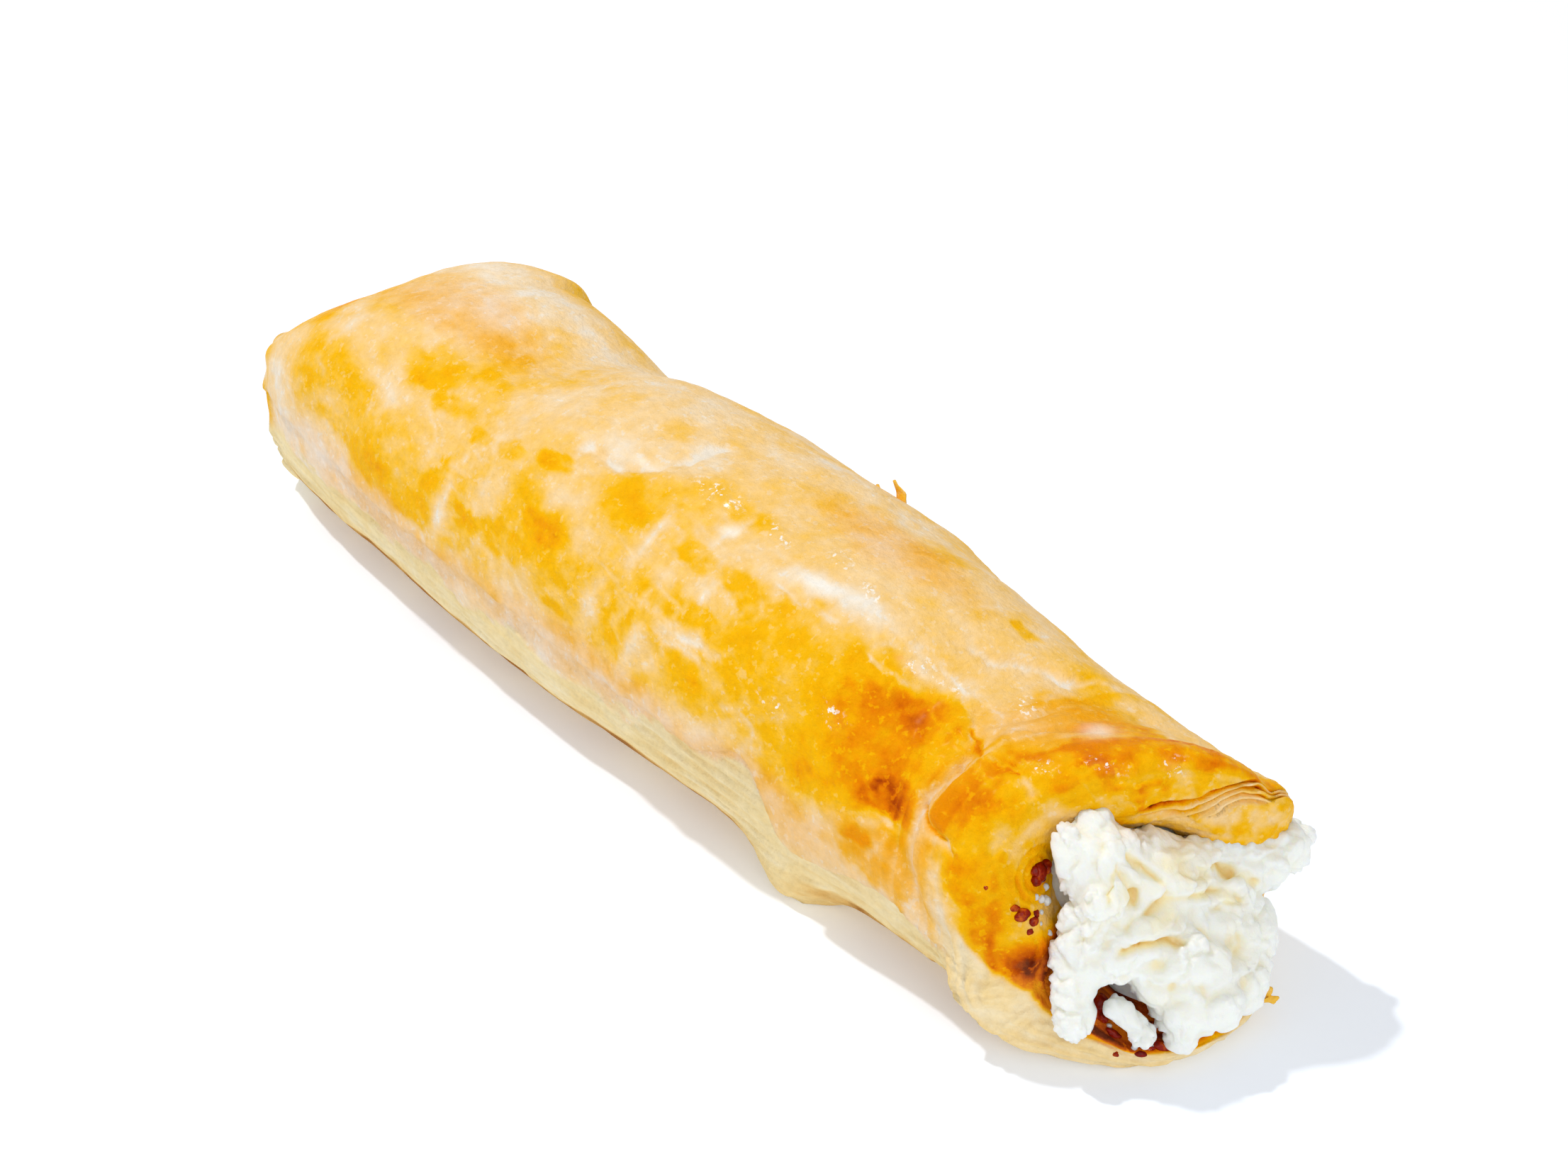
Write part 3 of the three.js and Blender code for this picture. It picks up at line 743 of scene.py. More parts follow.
# Lip of the mouth: pale dough outside, browned inside, parted along a wavering line.
LIP_SPAN = (168, 184, 335, 355)
LIP_ANGLES = (166, 179, 190, 199, 231, 252, 270, 285, 320, 345)
LIP_TURNS = (0, 20, 48, 67, 76, 98, 104, 120, 110, 60)  # where the pale outside ends
LIP_WAVER = 7
LIP_TONE = {"outside": 0.2, "outside_lines": 0.2, "inside": 0.72, "deeper": 0.2, "inside_lines": 0.16}
LIP_DOUGH = 0.7
lip_turn = np.interp(degrees, LIP_ANGLES, LIP_TURNS) + LIP_WAVER * wander[..., 1]
on_lip = plateau(degrees, *LIP_SPAN) * ramp(along, 60, 64)
lip_outside = on_lip * (1 - ramp(turn_degrees, lip_turn - 7, lip_turn + 5))
lip_inside = on_lip * ramp(turn_degrees, lip_turn - 2, lip_turn + 8)
lip_deeper = ramp(turn_degrees, lip_turn + 6, lip_turn + 26)
lip_lines = skin_lines(width=0.7, length=16, seed=63, shift=wander[..., 0])
bake = laid_over(bake, LIP_TONE["outside"] + LIP_TONE["outside_lines"] * lip_lines, lip_outside)
inside_tone = LIP_TONE["inside"] + LIP_TONE["deeper"] * lip_deeper + LIP_TONE["inside_lines"] * lip_lines
bake = laid_over(bake, inside_tone, lip_inside)

# Dry dough below the hem, with the edges of its folded sheets, darker where it meets the floor: partly
# browned base, partly painted contact shade.
HEM_FRAY = {"height": 1.6, "far": 4, "near": 1, "from": 0, "to": 25}
SHEET = {"gap": 2.1, "stray": 0.8, "browning": 0.16}  # folds of dough below the hem
FLOOR_BROWNING_AND_SHADE = {"full": (2.6, 4.4), "fade": (5.2, 6.9), "below": 0.74, "ragged": 0.7, "ends": (-79, -72)}
FLOOR_LOWER = {"from": 18, "to": 34, "by": 1.3}
TONGUE_PALER = {"reach": 1.4, "by": 0.7}
angles = np.radians(degrees)
skin_part = np.minimum(along, NEAR_RIM)
_, plain_level = section(skin_part, angles)
hem_shift = laid_over(HEM_FRAY["far"], HEM_FRAY["near"], ramp(along, HEM_FRAY["from"], HEM_FRAY["to"]))
ragged = plain_level + HEM_FRAY["height"] * skin_noise(size=2.2, octaves=3, seed=53, draw=0.6)
dough = below_hem(skin_part, angles, ragged + hem_shift)
dough = np.maximum(dough, LIP_DOUGH * lip_outside * (1 - lip_inside))
sheet = plain_level / SHEET["gap"] + SHEET["stray"] * skin_noise(size=4, octaves=3, seed=51, draw=0.22)
sheet_edge = ramp(-np.cos(2 * np.pi * sheet), -0.1, 1)
sheet_edge = sheet_edge * ramp(skin_noise(size=5, octaves=2, seed=56, draw=0.3), -0.6, 0.3)
# Painted shade: the dark line along the floor stands partly for the browned base and partly for the contact
# shade under the roll.
low = plain_level + FLOOR_BROWNING_AND_SHADE["ragged"] * skin_noise(size=2.4, octaves=3, seed=52, draw=0.5)
low = low + FLOOR_LOWER["by"] * ramp(along, FLOOR_LOWER["from"], FLOOR_LOWER["to"])
browned_and_shade = (1 - ramp(low, *FLOOR_BROWNING_AND_SHADE["fade"])) * ramp(along, *FLOOR_BROWNING_AND_SHADE["ends"])
browned_and_shade *= FLOOR_BROWNING_AND_SHADE["below"] + (1 - FLOOR_BROWNING_AND_SHADE["below"]) * ramp(low, *FLOOR_BROWNING_AND_SHADE["full"])
tongue_at, tongue_reach = TONGUES[0][:2]
browned_and_shade *= 1 - TONGUE_PALER["by"] * bell(along, tongue_at, TONGUE_PALER["reach"] * tongue_reach)
browned_and_shade = np.maximum(browned_and_shade, SHEET["browning"] * sheet_edge) * (1 - on_lip)

# Wrinkles and grain of the two ends: rings round the collar, the ear's face, the far rim and one bead's foot.
RINGS = {"gap": 0.9, "length": 22, "stray": 0.4, "tone": 0.14}
FACE = {"from": 68, "to": 70, "span": (8, 25, 100, 118), "tone": 0.48, "strength": 0.66, "grain": 0.16}
FAR_LINES = {"tone": 0.3, "lines": 0.3}
BEAD_RINGS = {"place": (151, 99), "gap": 1.1, "middle": 2.6, "reach": 1.5, "tone": 0.66, "darker": 0.06}
BLISTERS = {"cell": 0.9, "stray": 0.3, "collar": 0.6}
rings = np.stack([0 * along, degrees / RINGS["length"], along / RINGS["gap"]], -1) + RINGS["stray"] * drift
rings = noise(rings, 1, 57) * ramp(along, 65, 68) * (1 - on_lip)
bake += RINGS["tone"] * rings
face = ramp(along, FACE["from"], FACE["to"]) * plateau(degrees, *FACE["span"])
face = face * (1 - on_ear)
face_grain = skin_noise(size=1.1, octaves=2, seed=58)
face_browning = FACE["strength"] * (FACE["tone"] - bake)
bake += face * (face_browning + FACE["grain"] * face_grain)
on_far = ramp(-along, -FAR_END - 0.5, -FAR_END + 1)
far_lines = skin_lines(width=0.8, length=16, seed=67, shift=wander[..., 0])
bake = laid_over(bake, FAR_LINES["tone"] + FAR_LINES["lines"] * far_lines, on_far)
from_bead = plain_grid + 0.5 * drift - near_rim(*np.radians(BEAD_RINGS["place"]))
from_bead = np.linalg.norm(from_bead, axis=-1)
wrinkle = np.cos(2 * np.pi * from_bead / BEAD_RINGS["gap"])
wrinkle = wrinkle * bell(from_bead, BEAD_RINGS["middle"], BEAD_RINGS["reach"])
bead_foot = bell(from_bead, 0, BEAD_RINGS["middle"] + BEAD_RINGS["reach"])
bake = laid_over(bake, BEAD_RINGS["tone"] - BEAD_RINGS["darker"] * wrinkle, bead_foot)
collar = ramp(along, 57, 63) * (1 - ramp(degrees, 190, 215)) * (1 - on_ear)
blisters = np.maximum(BLISTERS["collar"] * collar, glint)
bubbles = cell_borders(plain_grid + BLISTERS["stray"] * drift, BLISTERS["cell"], 59)
blisters = blisters * ramp(bubbles, 0, 0.6)

# Relief: each unevenness raises or sinks the plain surface along its normal by its own height.
SWELL_HEIGHT = 0.2
PORE_HEIGHT = 0.05
GOLDEN_HEIGHT = 0.2
DOUGH_HEIGHT = 0.2
SHEET_EDGE_DEPTH = 0.3
CRACK_DEPTH = 0.16
BAND_HEIGHT = 0.12
BAND_STREAK_HEIGHT = 0.22
STREAK_HEIGHT = 0.1
RING_HEIGHT = 0.16
FACE_HEIGHT = 0.2
SLIT_DEPTH = 0.85
FAR_LINE_HEIGHT = 0.35
WRINKLE_HEIGHT = 0.12
LIP_LINE_HEIGHT = 0.3
BLISTER_HEIGHT = 0.16
relief = SWELL_HEIGHT * skin_noise(size=8, octaves=2, seed=61) + GOLDEN_HEIGHT * patches
relief += PORE_HEIGHT * skin_noise(size=2.2, octaves=3, seed=71)
dough_relief = DOUGH_HEIGHT * skin_noise(size=3, octaves=3, seed=54, draw=0.3) - SHEET_EDGE_DEPTH * sheet_edge
relief = laid_over(relief, dough_relief, dough)
relief -= CRACK_DEPTH * cracks
relief += band * (BAND_HEIGHT + BAND_STREAK_HEIGHT * streaks) + STREAK_HEIGHT * stretched * streaks
for width, height, *path in FOLDS:
    relief += height * crack(strayed_along, strayed_degrees, width, *path)
relief += RING_HEIGHT * rings + FACE_HEIGHT * face * face_grain - SLIT_DEPTH * slits
relief += FAR_LINE_HEIGHT * on_far * far_lines + LIP_LINE_HEIGHT * on_lip * lip_lines
relief += WRINKLE_HEIGHT * wrinkle + BLISTER_HEIGHT * blisters
crust_grid = plain_grid + relief[..., None] * loop_normals(plain_grid)
crust_grid[..., 2] = np.maximum(0, crust_grid[..., 2])


def srgb(red, green, blue):
    """Linear colour of an sRGB one given from 0 to 255."""
    share = np.array([red, green, blue]) / 255
    linear = np.where(share <= 0.04045, share / 12.92, ((share + 0.055) / 1.055) ** 2.4)
    return (*linear, 1.0)


def add_node(tree, kind, inputs=(), **settings):
    """Adds a shader node with its settings, and links each given input that is a socket or sets its value."""
    made = tree.nodes.new(kind)
    for name, value in settings.items():
        setattr(made, name, value)
    for name, value in dict(inputs).items():
        if isinstance(value, bpy.types.NodeSocket):
            tree.links.new(value, made.inputs[name])
        else:
            made.inputs[name].default_value = value
    return made


def math_node(tree, operation, *values):
    """The result of a math node on values or sockets, clamped nowhere."""
    return add_node(tree, "ShaderNodeMath", dict(enumerate(values)), operation=operation).outputs[0]


def add_times(tree, base, value, times):
    """The base with the value added so many times."""
    return math_node(tree, "MULTIPLY_ADD", value, times, base)


def mix_colour(tree, share, first, second):
    """The mix of two colours by a share, in a mix node's sockets for colours: inputs 6 and 7, output 2."""
    inputs = {"Factor": share, 6: first, 7: second}
    return add_node(tree, "ShaderNodeMix", inputs, data_type="RGBA").outputs[2]


def colour_ramp(tree, share, stops):
    """Colour or grey that goes through the given stops as the share goes from 0 to 1."""
    made = add_node(tree, "ShaderNodeValToRGB", {"Fac": share})
    elements = made.color_ramp.elements
    while len(elements) < len(stops):
        elements.new(0.5)
    for element, (position, colour) in zip(elements, stops):
        element.position = position
        element.color = colour
    return made.outputs["Color"]


def grain_group():
    """Node group that all the food's materials share: noise from 0 to 1 with so many grains to the metre, on
    coordinates drawn together or out by a stretch."""
    group = bpy.data.node_groups.new("food_grain", "ShaderNodeTree")
    kinds = {"Place": "Vector", "Grains": "Float", "Detail": "Float", "Stretch": "Vector"}
    for name, kind in kinds.items():
        group.interface.new_socket(name, in_out="INPUT", socket_type=f"NodeSocket{kind}")
    group.interface.new_socket("Share", in_out="OUTPUT", socket_type="NodeSocketFloat")
    given = group.nodes.new("NodeGroupInput").outputs
    mapped = add_node(group, "ShaderNodeMapping", {"Vector": given["Place"], "Scale": given["Stretch"]})
    inputs = {"Vector": mapped.outputs[0], "Scale": given["Grains"], "Detail": given["Detail"]}
    cloud = add_node(group, "ShaderNodeTexNoise", {**inputs, "Roughness": 0.6})
    add_node(group, "NodeGroupOutput", {"Share": cloud.outputs["Fac"]})
    return group


FOOD_GRAIN = grain_group()


def grain(tree, place, grains, detail, stretch=(1, 1, 1)):
    """The shared grain, placed in a material with its own values."""
    inputs = {"Place": place, "Grains": grains, "Detail": detail, "Stretch": stretch}
    return add_node(tree, "ShaderNodeGroup", inputs, node_tree=FOOD_GRAIN).outputs["Share"]


def uneven(tree, place, grains, detail):
    """The shared grain from minus a half to a half."""
    return math_node(tree, "SUBTRACT", grain(tree, place, grains, detail), 0.5)


def attribute(tree, name):
    """The piece's own number of that name at each point."""
    return add_node(tree, "ShaderNodeAttribute", attribute_name=name).outputs["Fac"]


def new_material(name):
    """Material with an empty node tree but for its shader, and the piece's own coordinates."""
    material = bpy.data.materials.new(name)
    material.use_nodes = True
    tree = material.node_tree
    shader = tree.nodes["Principled BSDF"]
    place = tree.nodes.new("ShaderNodeTexCoord").outputs["Object"]
    return material, tree, shader, place


BAKE_COLOURS = (
    (0.00, srgb(241, 229, 210)),
    (0.16, srgb(245, 215, 168)),
    (0.28, srgb(246, 206, 138)),
    (0.37, srgb(246, 199, 108)),
    (0.45, srgb(246, 192, 66)),
    (0.52, srgb(245, 183, 8)),
    (0.61, srgb(244, 173, 0)),
    (0.70, srgb(237, 147, 0)),
    (0.80, srgb(225, 118, 0)),
    (0.90, srgb(182, 74, 2)),
    (1.00, srgb(100, 28, 4)),
)
BLUSH_COLOURS = (
    (0.00, srgb(242, 222, 200)),
    (0.20, srgb(244, 204, 152)),
    (0.34, srgb(244, 190, 106)),
    (0.46, srgb(242, 176, 62)),
    (0.58, srgb(241, 165, 22)),
    (0.70, srgb(236, 145, 2)),
)
DOUGH_COLOURS = (
    (0.00, srgb(146, 96, 44)),
    (0.14, srgb(172, 116, 54)),
    (0.28, srgb(222, 178, 104)),
    (0.42, srgb(238, 206, 140)),
    (0.56, srgb(243, 219, 162)),
    (0.72, srgb(247, 231, 190)),
)
# White of the painted highlights: the light's sheen and the sparkles on the blisters.
PAINTED_SHEEN_COLOUR = srgb(253, 249, 240)


def specks(tree, place, grains, level):
    """Small ragged spots from 0 to 1: where noise of so many grains to the metre is above the level."""
    inputs = {"Value": grain(tree, place, grains, 2), "From Min": level, "From Max": level + 0.06}
    return add_node(tree, "ShaderNodeMapRange", inputs).outputs[0]


def layer_lines(tree, place):
    """Wavy level lines from 0 to 1 about a millimetre apart, as the edges of thin sheets show on a flank."""
    mapped = add_node(tree, "ShaderNodeMapping", {"Vector": place, "Scale": (0.2, 0.5, 1)})
    inputs = {"Vector": mapped.outputs[0], "Scale": 300, "Distortion": 14, "Detail": 4, "Detail Scale": 0.5}
    return add_node(tree, "ShaderNodeTexWave", inputs, bands_direction="Z").outputs["Fac"]


def set_inputs(shader, values):
    """Sets a shader's plain inputs by name."""
    for name, value in values.items():
        shader.inputs[name].default_value = value


CRUST_TONE = {"mottle": 0.22, "fine": 0.13, "specks": -0.1}  # how much each changes the browning
LAYERED_TONE = {"plain": 0.28, "grain": 0.6, "lines": 0.03, "browned_and_shade": -0.43}
SHADE_STRENGTH = 0.26
CRUST_ROUGHNESS = {"plain": 0.42, "dry": 0.3, "mottle": 0.2}
CRUST_COAT = {"plain": 0.02, "glint": 0.35}
RIDGE_HEIGHT = 0.16
CRUST_BUMP = {"Strength": 0.6, "Distance": 0.0006}


def crust_material():
    """Egg-washed crust: browning from the piece's own field, mottled by noise, pinker where the dough was
    stretched, with dry layered dough below the hem, a gloss on the blisters and painted white sparkles and
    sheen of the light."""
    material, tree, shader, place = new_material("baked_crust")
    mottle = uneven(tree, place, 380, 9)
    tone = add_times(tree, attribute(tree, "bake"), mottle, CRUST_TONE["mottle"])
    tone = add_times(tree, tone, uneven(tree, place, 1700, 4), CRUST_TONE["fine"])
    tone = add_times(tree, tone, specks(tree, place, 1000, 0.6), CRUST_TONE["specks"])
    crust = colour_ramp(tree, tone, BAKE_COLOURS)
    crust = mix_colour(tree, attribute(tree, "blush"), crust, colour_ramp(tree, tone, BLUSH_COLOURS))
    glint = attribute(tree, "glint")
    # Painted highlights: white sparkles on the glinting blisters and the light's sheen are mixed into the
    # colour.
    painted_sparkle = math_node(tree, "MULTIPLY", specks(tree, place, 1500, 0.58), glint)
    painted_highlight = math_node(tree, "MAXIMUM", painted_sparkle, attribute(tree, "painted_sheen"))
    crust = mix_colour(tree, painted_highlight, crust, PAINTED_SHEEN_COLOUR)
    dry = attribute(tree, "dough")
    lines = layer_lines(tree, place)
    layered = grain(tree, place, 300, 8, (0.5, 0.8, 1))
    layered = add_times(tree, LAYERED_TONE["plain"], layered, LAYERED_TONE["grain"])
    layered = add_times(tree, layered, lines, LAYERED_TONE["lines"])
    # The dough darkens with the browning and with the painted contact shade along the floor.
    layered = add_times(tree, layered, attribute(tree, "browned_and_shade"), LAYERED_TONE["browned_and_shade"])
    layered = colour_ramp(tree, layered, DOUGH_COLOURS)
    shade = add_times(tree, 1, uneven(tree, place, 900, 5), SHADE_STRENGTH)
    shaded = {"Value": shade, "Color": mix_colour(tree, dry, crust, layered)}
    shaded = add_node(tree, "ShaderNodeHueSaturation", shaded).outputs["Color"]
    tree.links.new(shaded, shader.inputs["Base Color"])
    roughness = add_times(tree, CRUST_ROUGHNESS["plain"], dry, CRUST_ROUGHNESS["dry"])
    roughness = add_times(tree, roughness, mottle, CRUST_ROUGHNESS["mottle"])
    tree.links.new(roughness, shader.inputs["Roughness"])
    coat = add_times(tree, CRUST_COAT["plain"], glint, CRUST_COAT["glint"])
    tree.links.new(coat, shader.inputs["Coat Weight"])
    set_inputs(shader, {"Coat Roughness": 0.22, "Specular IOR Level": 0.02})
    ridges = math_node(tree, "MULTIPLY", lines, dry)
    height = add_times(tree, grain(tree, place, 1300, 5), ridges, RIDGE_HEIGHT)
    bump = add_node(tree, "ShaderNodeBump", {"Height": height, **CRUST_BUMP})
    tree.links.new(bump.outputs[0], shader.inputs["Normal"])
    return material


crust_fields = {"bake": bake, "dough": dough, "browned_and_shade": browned_and_shade}
crust_fields.update({"blush": blush, "glint": glint, "painted_sheen": painted_sheen})
crust = grid_piece("crust", crust_grid, crust_fields)
crust.data.materials.append(crust_material())
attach(crust, "root")
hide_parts("pastry_roll")


# Cheese core: the soft white curd cheese that fills the bore from end to end.
# It is a closed tube a little narrower than the bore, and the curds cover both its ends.
CLEARANCE = 0.4
FAR_SWELL = 1.2
CORE_SIDES = 96
CORE_ROWS = 40


def tube_arrays(grid, start, end):
    """Points and triangles of a tube of rings, its two ends closed by fans to a start and an end point."""
    rows, sides = grid.shape[:2]
    points = np.concatenate([grid.reshape(-1, 3), [start], [end]])
    index = np.arange(rows * sides).reshape(rows, sides)
    after = np.roll(index, -1, 1)
    return points, np.concatenate([
        np.stack([index[:-1], after[:-1], after[1:]], -1).reshape(-1, 3),
        np.stack([index[:-1], after[1:], index[1:]], -1).reshape(-1, 3),
        np.stack([np.full(sides, rows * sides), after[0], index[0]], -1),
        np.stack([np.full(sides, rows * sides + 1), index[-1], after[-1]], -1),
    ])


def tubes_piece(name, tubes, attributes):
    """One mesh object of several closed tubes."""
    starts = np.cumsum([0] + [len(points) for points, _ in tubes])
    points = np.concatenate([points for points, _ in tubes])
    faces = np.concatenate([faces + start for (_, faces), start in zip(tubes, starts)])
    return mesh_piece(name, points, faces, attributes)


core_along = np.linspace(FAR_END, NEAR_RIM, CORE_ROWS)
core_angles = np.linspace(0, 2 * np.pi, CORE_SIDES, endpoint=False)
core_grid = bore(*np.meshgrid(core_along, core_angles, indexing="ij"), CLEARANCE)
core_far = core_grid[0].mean(0) - (FAR_SWELL, 0, 0)
core_near = core_grid[-1].mean(0)
# The core gets a fixed share of the painted cream shade.
core = tubes_piece("cheese_core", [tube_arrays(core_grid, core_far, core_near)], {"cream_shade": 0.3})


# White through cream to yellow: the cream and yellow are painted shade in the curds' hollows and creases.
CHEESE_COLOURS = (
    (0.0, srgb(241, 243, 236)),
    (0.4, srgb(243, 240, 224)),
    (0.7, srgb(247, 233, 188)),
    (1.0, srgb(236, 205, 112)),
)
CREAM_SPECKS = 0.3
CHEESE_FINISH = {
    "Roughness": 0.5,
    "Subsurface Weight": 0.6,
    "Subsurface Radius": (1.0, 0.8, 0.5),
    "Subsurface Scale": 0.003,
}
CHEESE_BUMP = {"Strength": 0.5, "Distance": 0.0004}


def cheese_material():
    """Moist white curd: painted cream-yellow shade in its hollows and creases, with fine crumb."""
    material, tree, shader, place = new_material("curd_cheese")
    tone = add_times(tree, attribute(tree, "cream_shade"), uneven(tree, place, 700, 4), CREAM_SPECKS)
    tree.links.new(colour_ramp(tree, tone, CHEESE_COLOURS), shader.inputs["Base Color"])
    set_inputs(shader, CHEESE_FINISH)
    crumb = add_node(tree, "ShaderNodeBump", {"Height": grain(tree, place, 1300, 5), **CHEESE_BUMP})
    tree.links.new(crumb.outputs[0], shader.inputs["Normal"])
    return material


cheese = cheese_material()
core.data.materials.append(cheese)
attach(core, "root")


# Curds: the lumps of cheese that swell from the two mouths, torn and smeared as they were filled in.
# Each is a rough ball or finger of cheese, and all are run together into one soft mass, over a larger lump
# in each mouth that rests against the core.
CURDS = (  # one end x, y, z, other end x, y, z, radius
    (67.6, -5, 22.6, 68, -5.4, 21.6, 4.2),
    (66.5, -4.4, 25, 66.8, -3.8, 24.2, 2.6),
    (68.2, -3.6, 24.2, 70.5, -2.4, 22.2, 2.0),
    (66.2, -7.6, 25.4, 67, -7.8, 23.6, 1.7),
    (66, -2.6, 24.4, 66.8, -1.8, 23.4, 1.5),
    (67.4, -7.8, 22.6, 67.4, -7.6, 21.6, 2.0),
    (71, -5, 23.6, 72.4, -2.1, 19.8, 1.2),
    (71.8, -6.4, 22.3, 72.4, -6, 19.6, 1.2),
    (70.8, -7, 20.6, 70.4, -7.4, 18.8, 2.2),
    (70.4, 1.3, 20.8, 71.4, 7, 19.2, 2.6),
    (71.9, 10.4, 17, 73, 14.2, 16.6, 3.7),
    (73, 14.6, 16.8, 73.6, 17, 17, 3.0),
    (73.6, 8.4, 16.8, 73.4, 7, 16.4, 2.2),
    (74.6, 9.5, 14.2, 74.4, 8.8, 13.4, 2.2),
    (72.8, -2.8, 15.4, 75.2, 6.4, 13.4, 2.2),
    (74.2, 0.4, 11, 75.6, 2.8, 9.4, 4.7),
    (75.1, 9.6, 10, 74.8, 9.6, 8, 4.2),
    (69.6, -7.4, 17.4, 70, -8.8, 12.4, 2.8),
    (70.3, -9.6, 12, 71.6, -10.8, 7.2, 2.3),
    (72, -4.8, 13.2, 71.6, -6.8, 13, 3.3),
    (73.6, -7, 8, 76.4, -5.4, 5.4, 1.4),
    (77.4, -0.6, 7.2, 78.4, 2.8, 6.8, 3.3),
    (78.2, -1.4, 5.6, 78.5, -1.6, 4.6, 1.9),
    (77, 7, 6, 76.6, 8, 6.4, 3.6),
    (69.5, 0.5, 19, 70, 4, 16, 5.0),
    (70.4, -3, 15, 71.2, 6, 12, 5.4),
    (74, -3.2, 11.4, 75, -2.6, 9.6, 2.6),
    (-79.2, -6.4, 8, -79.6, -4.6, 9, 3.3),
    (-79.4, -1, 12, -79.8, 2, 12.4, 3.5),
    (-79.2, 5, 8.4, -79.6, 7, 9.4, 3.2),
    (-79.6, 0, 6.6, -80, 2.4, 7, 3.0),
    (-79.2, -5, 13, -79.4, -3.6, 13.4, 2.6),
    (-79, 6.6, 12.6, -79.2, 7.6, 12.8, 2.4),
    (-80.2, -2.4, 9.4, -80.4, -0.6, 9.8, 2.2),
    (-79.6, -9.2, 6, -79.8, -8.6, 8, 2.6),
    (-79.6, -8.8, 11.4, -79.8, -7.8, 13.6, 2.7),
    (-79.4, 0.6, 15, -79.6, 4, 15.2, 2.6),
    (-79.4, 9, 6.2, -79.6, 9.2, 9, 2.5),
    (-79.6, 4.6, 5, -79.8, 7, 5.2, 2.4),
    (-79.6, -5.4, 4.8, -79.8, -2.4, 4.8, 2.4),
    (-79.2, -4, 15.6, -79.4, -1.4, 15.6, 2.4),
    (-79.4, 8.4, 12.4, -79.6, 8.2, 14, 2.4),
)
CREASES = (  # width, depth, yellowing, then places
    (0.5, 1.3, 1, (74.3, -7.1, 15.9), (75.2, -5.5, 16.1), (75.9, -3.1, 15.5), (76.4, -0.8, 14.8)),
    (0.55, 0.9, 0.8, (73.8, -6.1, 18.3), (73.9, -4.7, 19.3), (74.2, -1.9, 19), (74.7, 1.8, 18.2),
     (74.8, 5.4, 17.5)),
    (0.5, 0.9, 0.8, (71.2, -3.5, 24.4), (72.2, -2.2, 22.4), (73.5, -1.3, 20.8), (74.2, -1.3, 19.6)),
    (0.4, 0.5, 0.5, (71.7, -5.8, 24.1), (72.6, -4.5, 22.1), (73, -3.6, 20.5)),
    (0.4, 0.5, 0.7, (72.7, -7.8, 21.2), (72.1, -7.3, 22.8), (71.9, -6.1, 23.6), (72.5, -5.1, 22.9),
     (72.2, -4.1, 20.2)),
    (0.4, 0.5, 0.7, (72.2, -4.1, 20.2), (73.5, -5.5, 19.2)),
    (0.6, 0.9, 0.8, (73.6, 6.3, 19.4), (74.1, 8, 18.8), (75.1, 9.7, 17.5), (75.9, 10.5, 16.4)),
    (0.45, 0.5, 0.4, (71.2, -10.6, 16.6), (72.1, -9.1, 17.2), (72.4, -7.5, 18.6)),
    (0.5, 0.6, 0.35, (74.9, -6.8, 12.5), (76, -5.4, 11.2), (76.9, -3.7, 10.5), (78.4, -1.7, 11)),
    (0.5, 0.5, 0.35, (76.8, 6.8, 14.2), (77.8, 6.7, 12), (79.6, 4.2, 11.3)),
    (0.4, 0.5, 0.5, (68.4, -5.5, 26.5), (69.9, -6.5, 26.1), (70.3, -7.5, 25.3), (69.9, -8.5, 24.3)),
)
# Places where cream-yellow shade is painted on the curds.
SHADED_CREAM_SPOTS = (  # x, y, z, reach
    (72.9, 1.2, 21.7, 3.2),
    (73.6, 3.8, 19.3, 2.8),
    (76.5, -2.6, 9.5, 2),
    (72.4, -4.6, 21, 2.4),
    (74.6, -2, 17.6, 2.4),
    (75.6, 6, 16.6, 2),
    (77.6, 5.6, 12, 2.4),
)
CURD_BACKS = (  # the masses behind them in the two mouths: middle, half sizes
    (60.5, 2.8, 14.2, 8, 11.4, 10.1),
    (-75.5, -0.2, 10.2, 4.6, 10.4, 6.9),
)
CURD_VOXEL = 0.24
CURD_UNEVEN = 0.12
CURD_SMOOTHING = 7  # passes that take the steps of the voxels away
LUMPY = {"cell": 3.2, "stray": 0.9, "height": 0.3, "crumbly": 0.3, "edge": 0.3}
CRUMBLY = {"cell": 0.9, "stray": 0.3, "height": 0.26, "edge": 0.5}
FOLDED = {"size": 3, "stray": 0.6, "height": 0.4, "sink": 0.5}
CREASE_STRAY = 0.35
CREASE_YELLOW_WIDTH = 1.2
SPOT_SHADE_YELLOW = 0.62
HOLLOW = {"passes": 30, "depth": 0.6, "softening": 3}  # how far the surface lies below its own mean
POLE_RISE = 0.02
BALL_SIDES = 32
BALL_ROWS = 20


def ball_outward():
    """Directions from the middle of a ball, in rings from one pole to the other."""
    polar = np.linspace(0, np.pi, BALL_ROWS + 2)[1:-1]
    turn = np.linspace(0, 2 * np.pi, BALL_SIDES, endpoint=False)
    polar, turn = np.meshgrid(polar, turn, indexing="ij")
    return np.stack([-np.cos(polar), np.sin(polar) * np.cos(turn), np.sin(polar) * np.sin(turn)], -1)


def finger(x0, y0, z0, x1, y1, z1, radius, seed):
    """Rough finger as a closed tube: a ball whose halves are drawn apart to two ends, with a radius that
    varies with noise."""
    start, end = np.array([x0, y0, z0]), np.array([x1, y1, z1])
    run = (end - start) / (np.linalg.norm(end - start) + 1e-9)
    outward = ball_outward()
    share = ramp(outward @ run, -0.35, 0.35)[..., None]
    size = radius * (1 + CURD_UNEVEN * noise(outward * radius, 0.8 * radius, seed))[..., None]
    grid = start + (end - start) * share + outward * size
    tip = (POLE_RISE * radius, 0, 0)
    return tube_arrays(grid, grid[0].mean(0) - tip, grid[-1].mean(0) + tip)


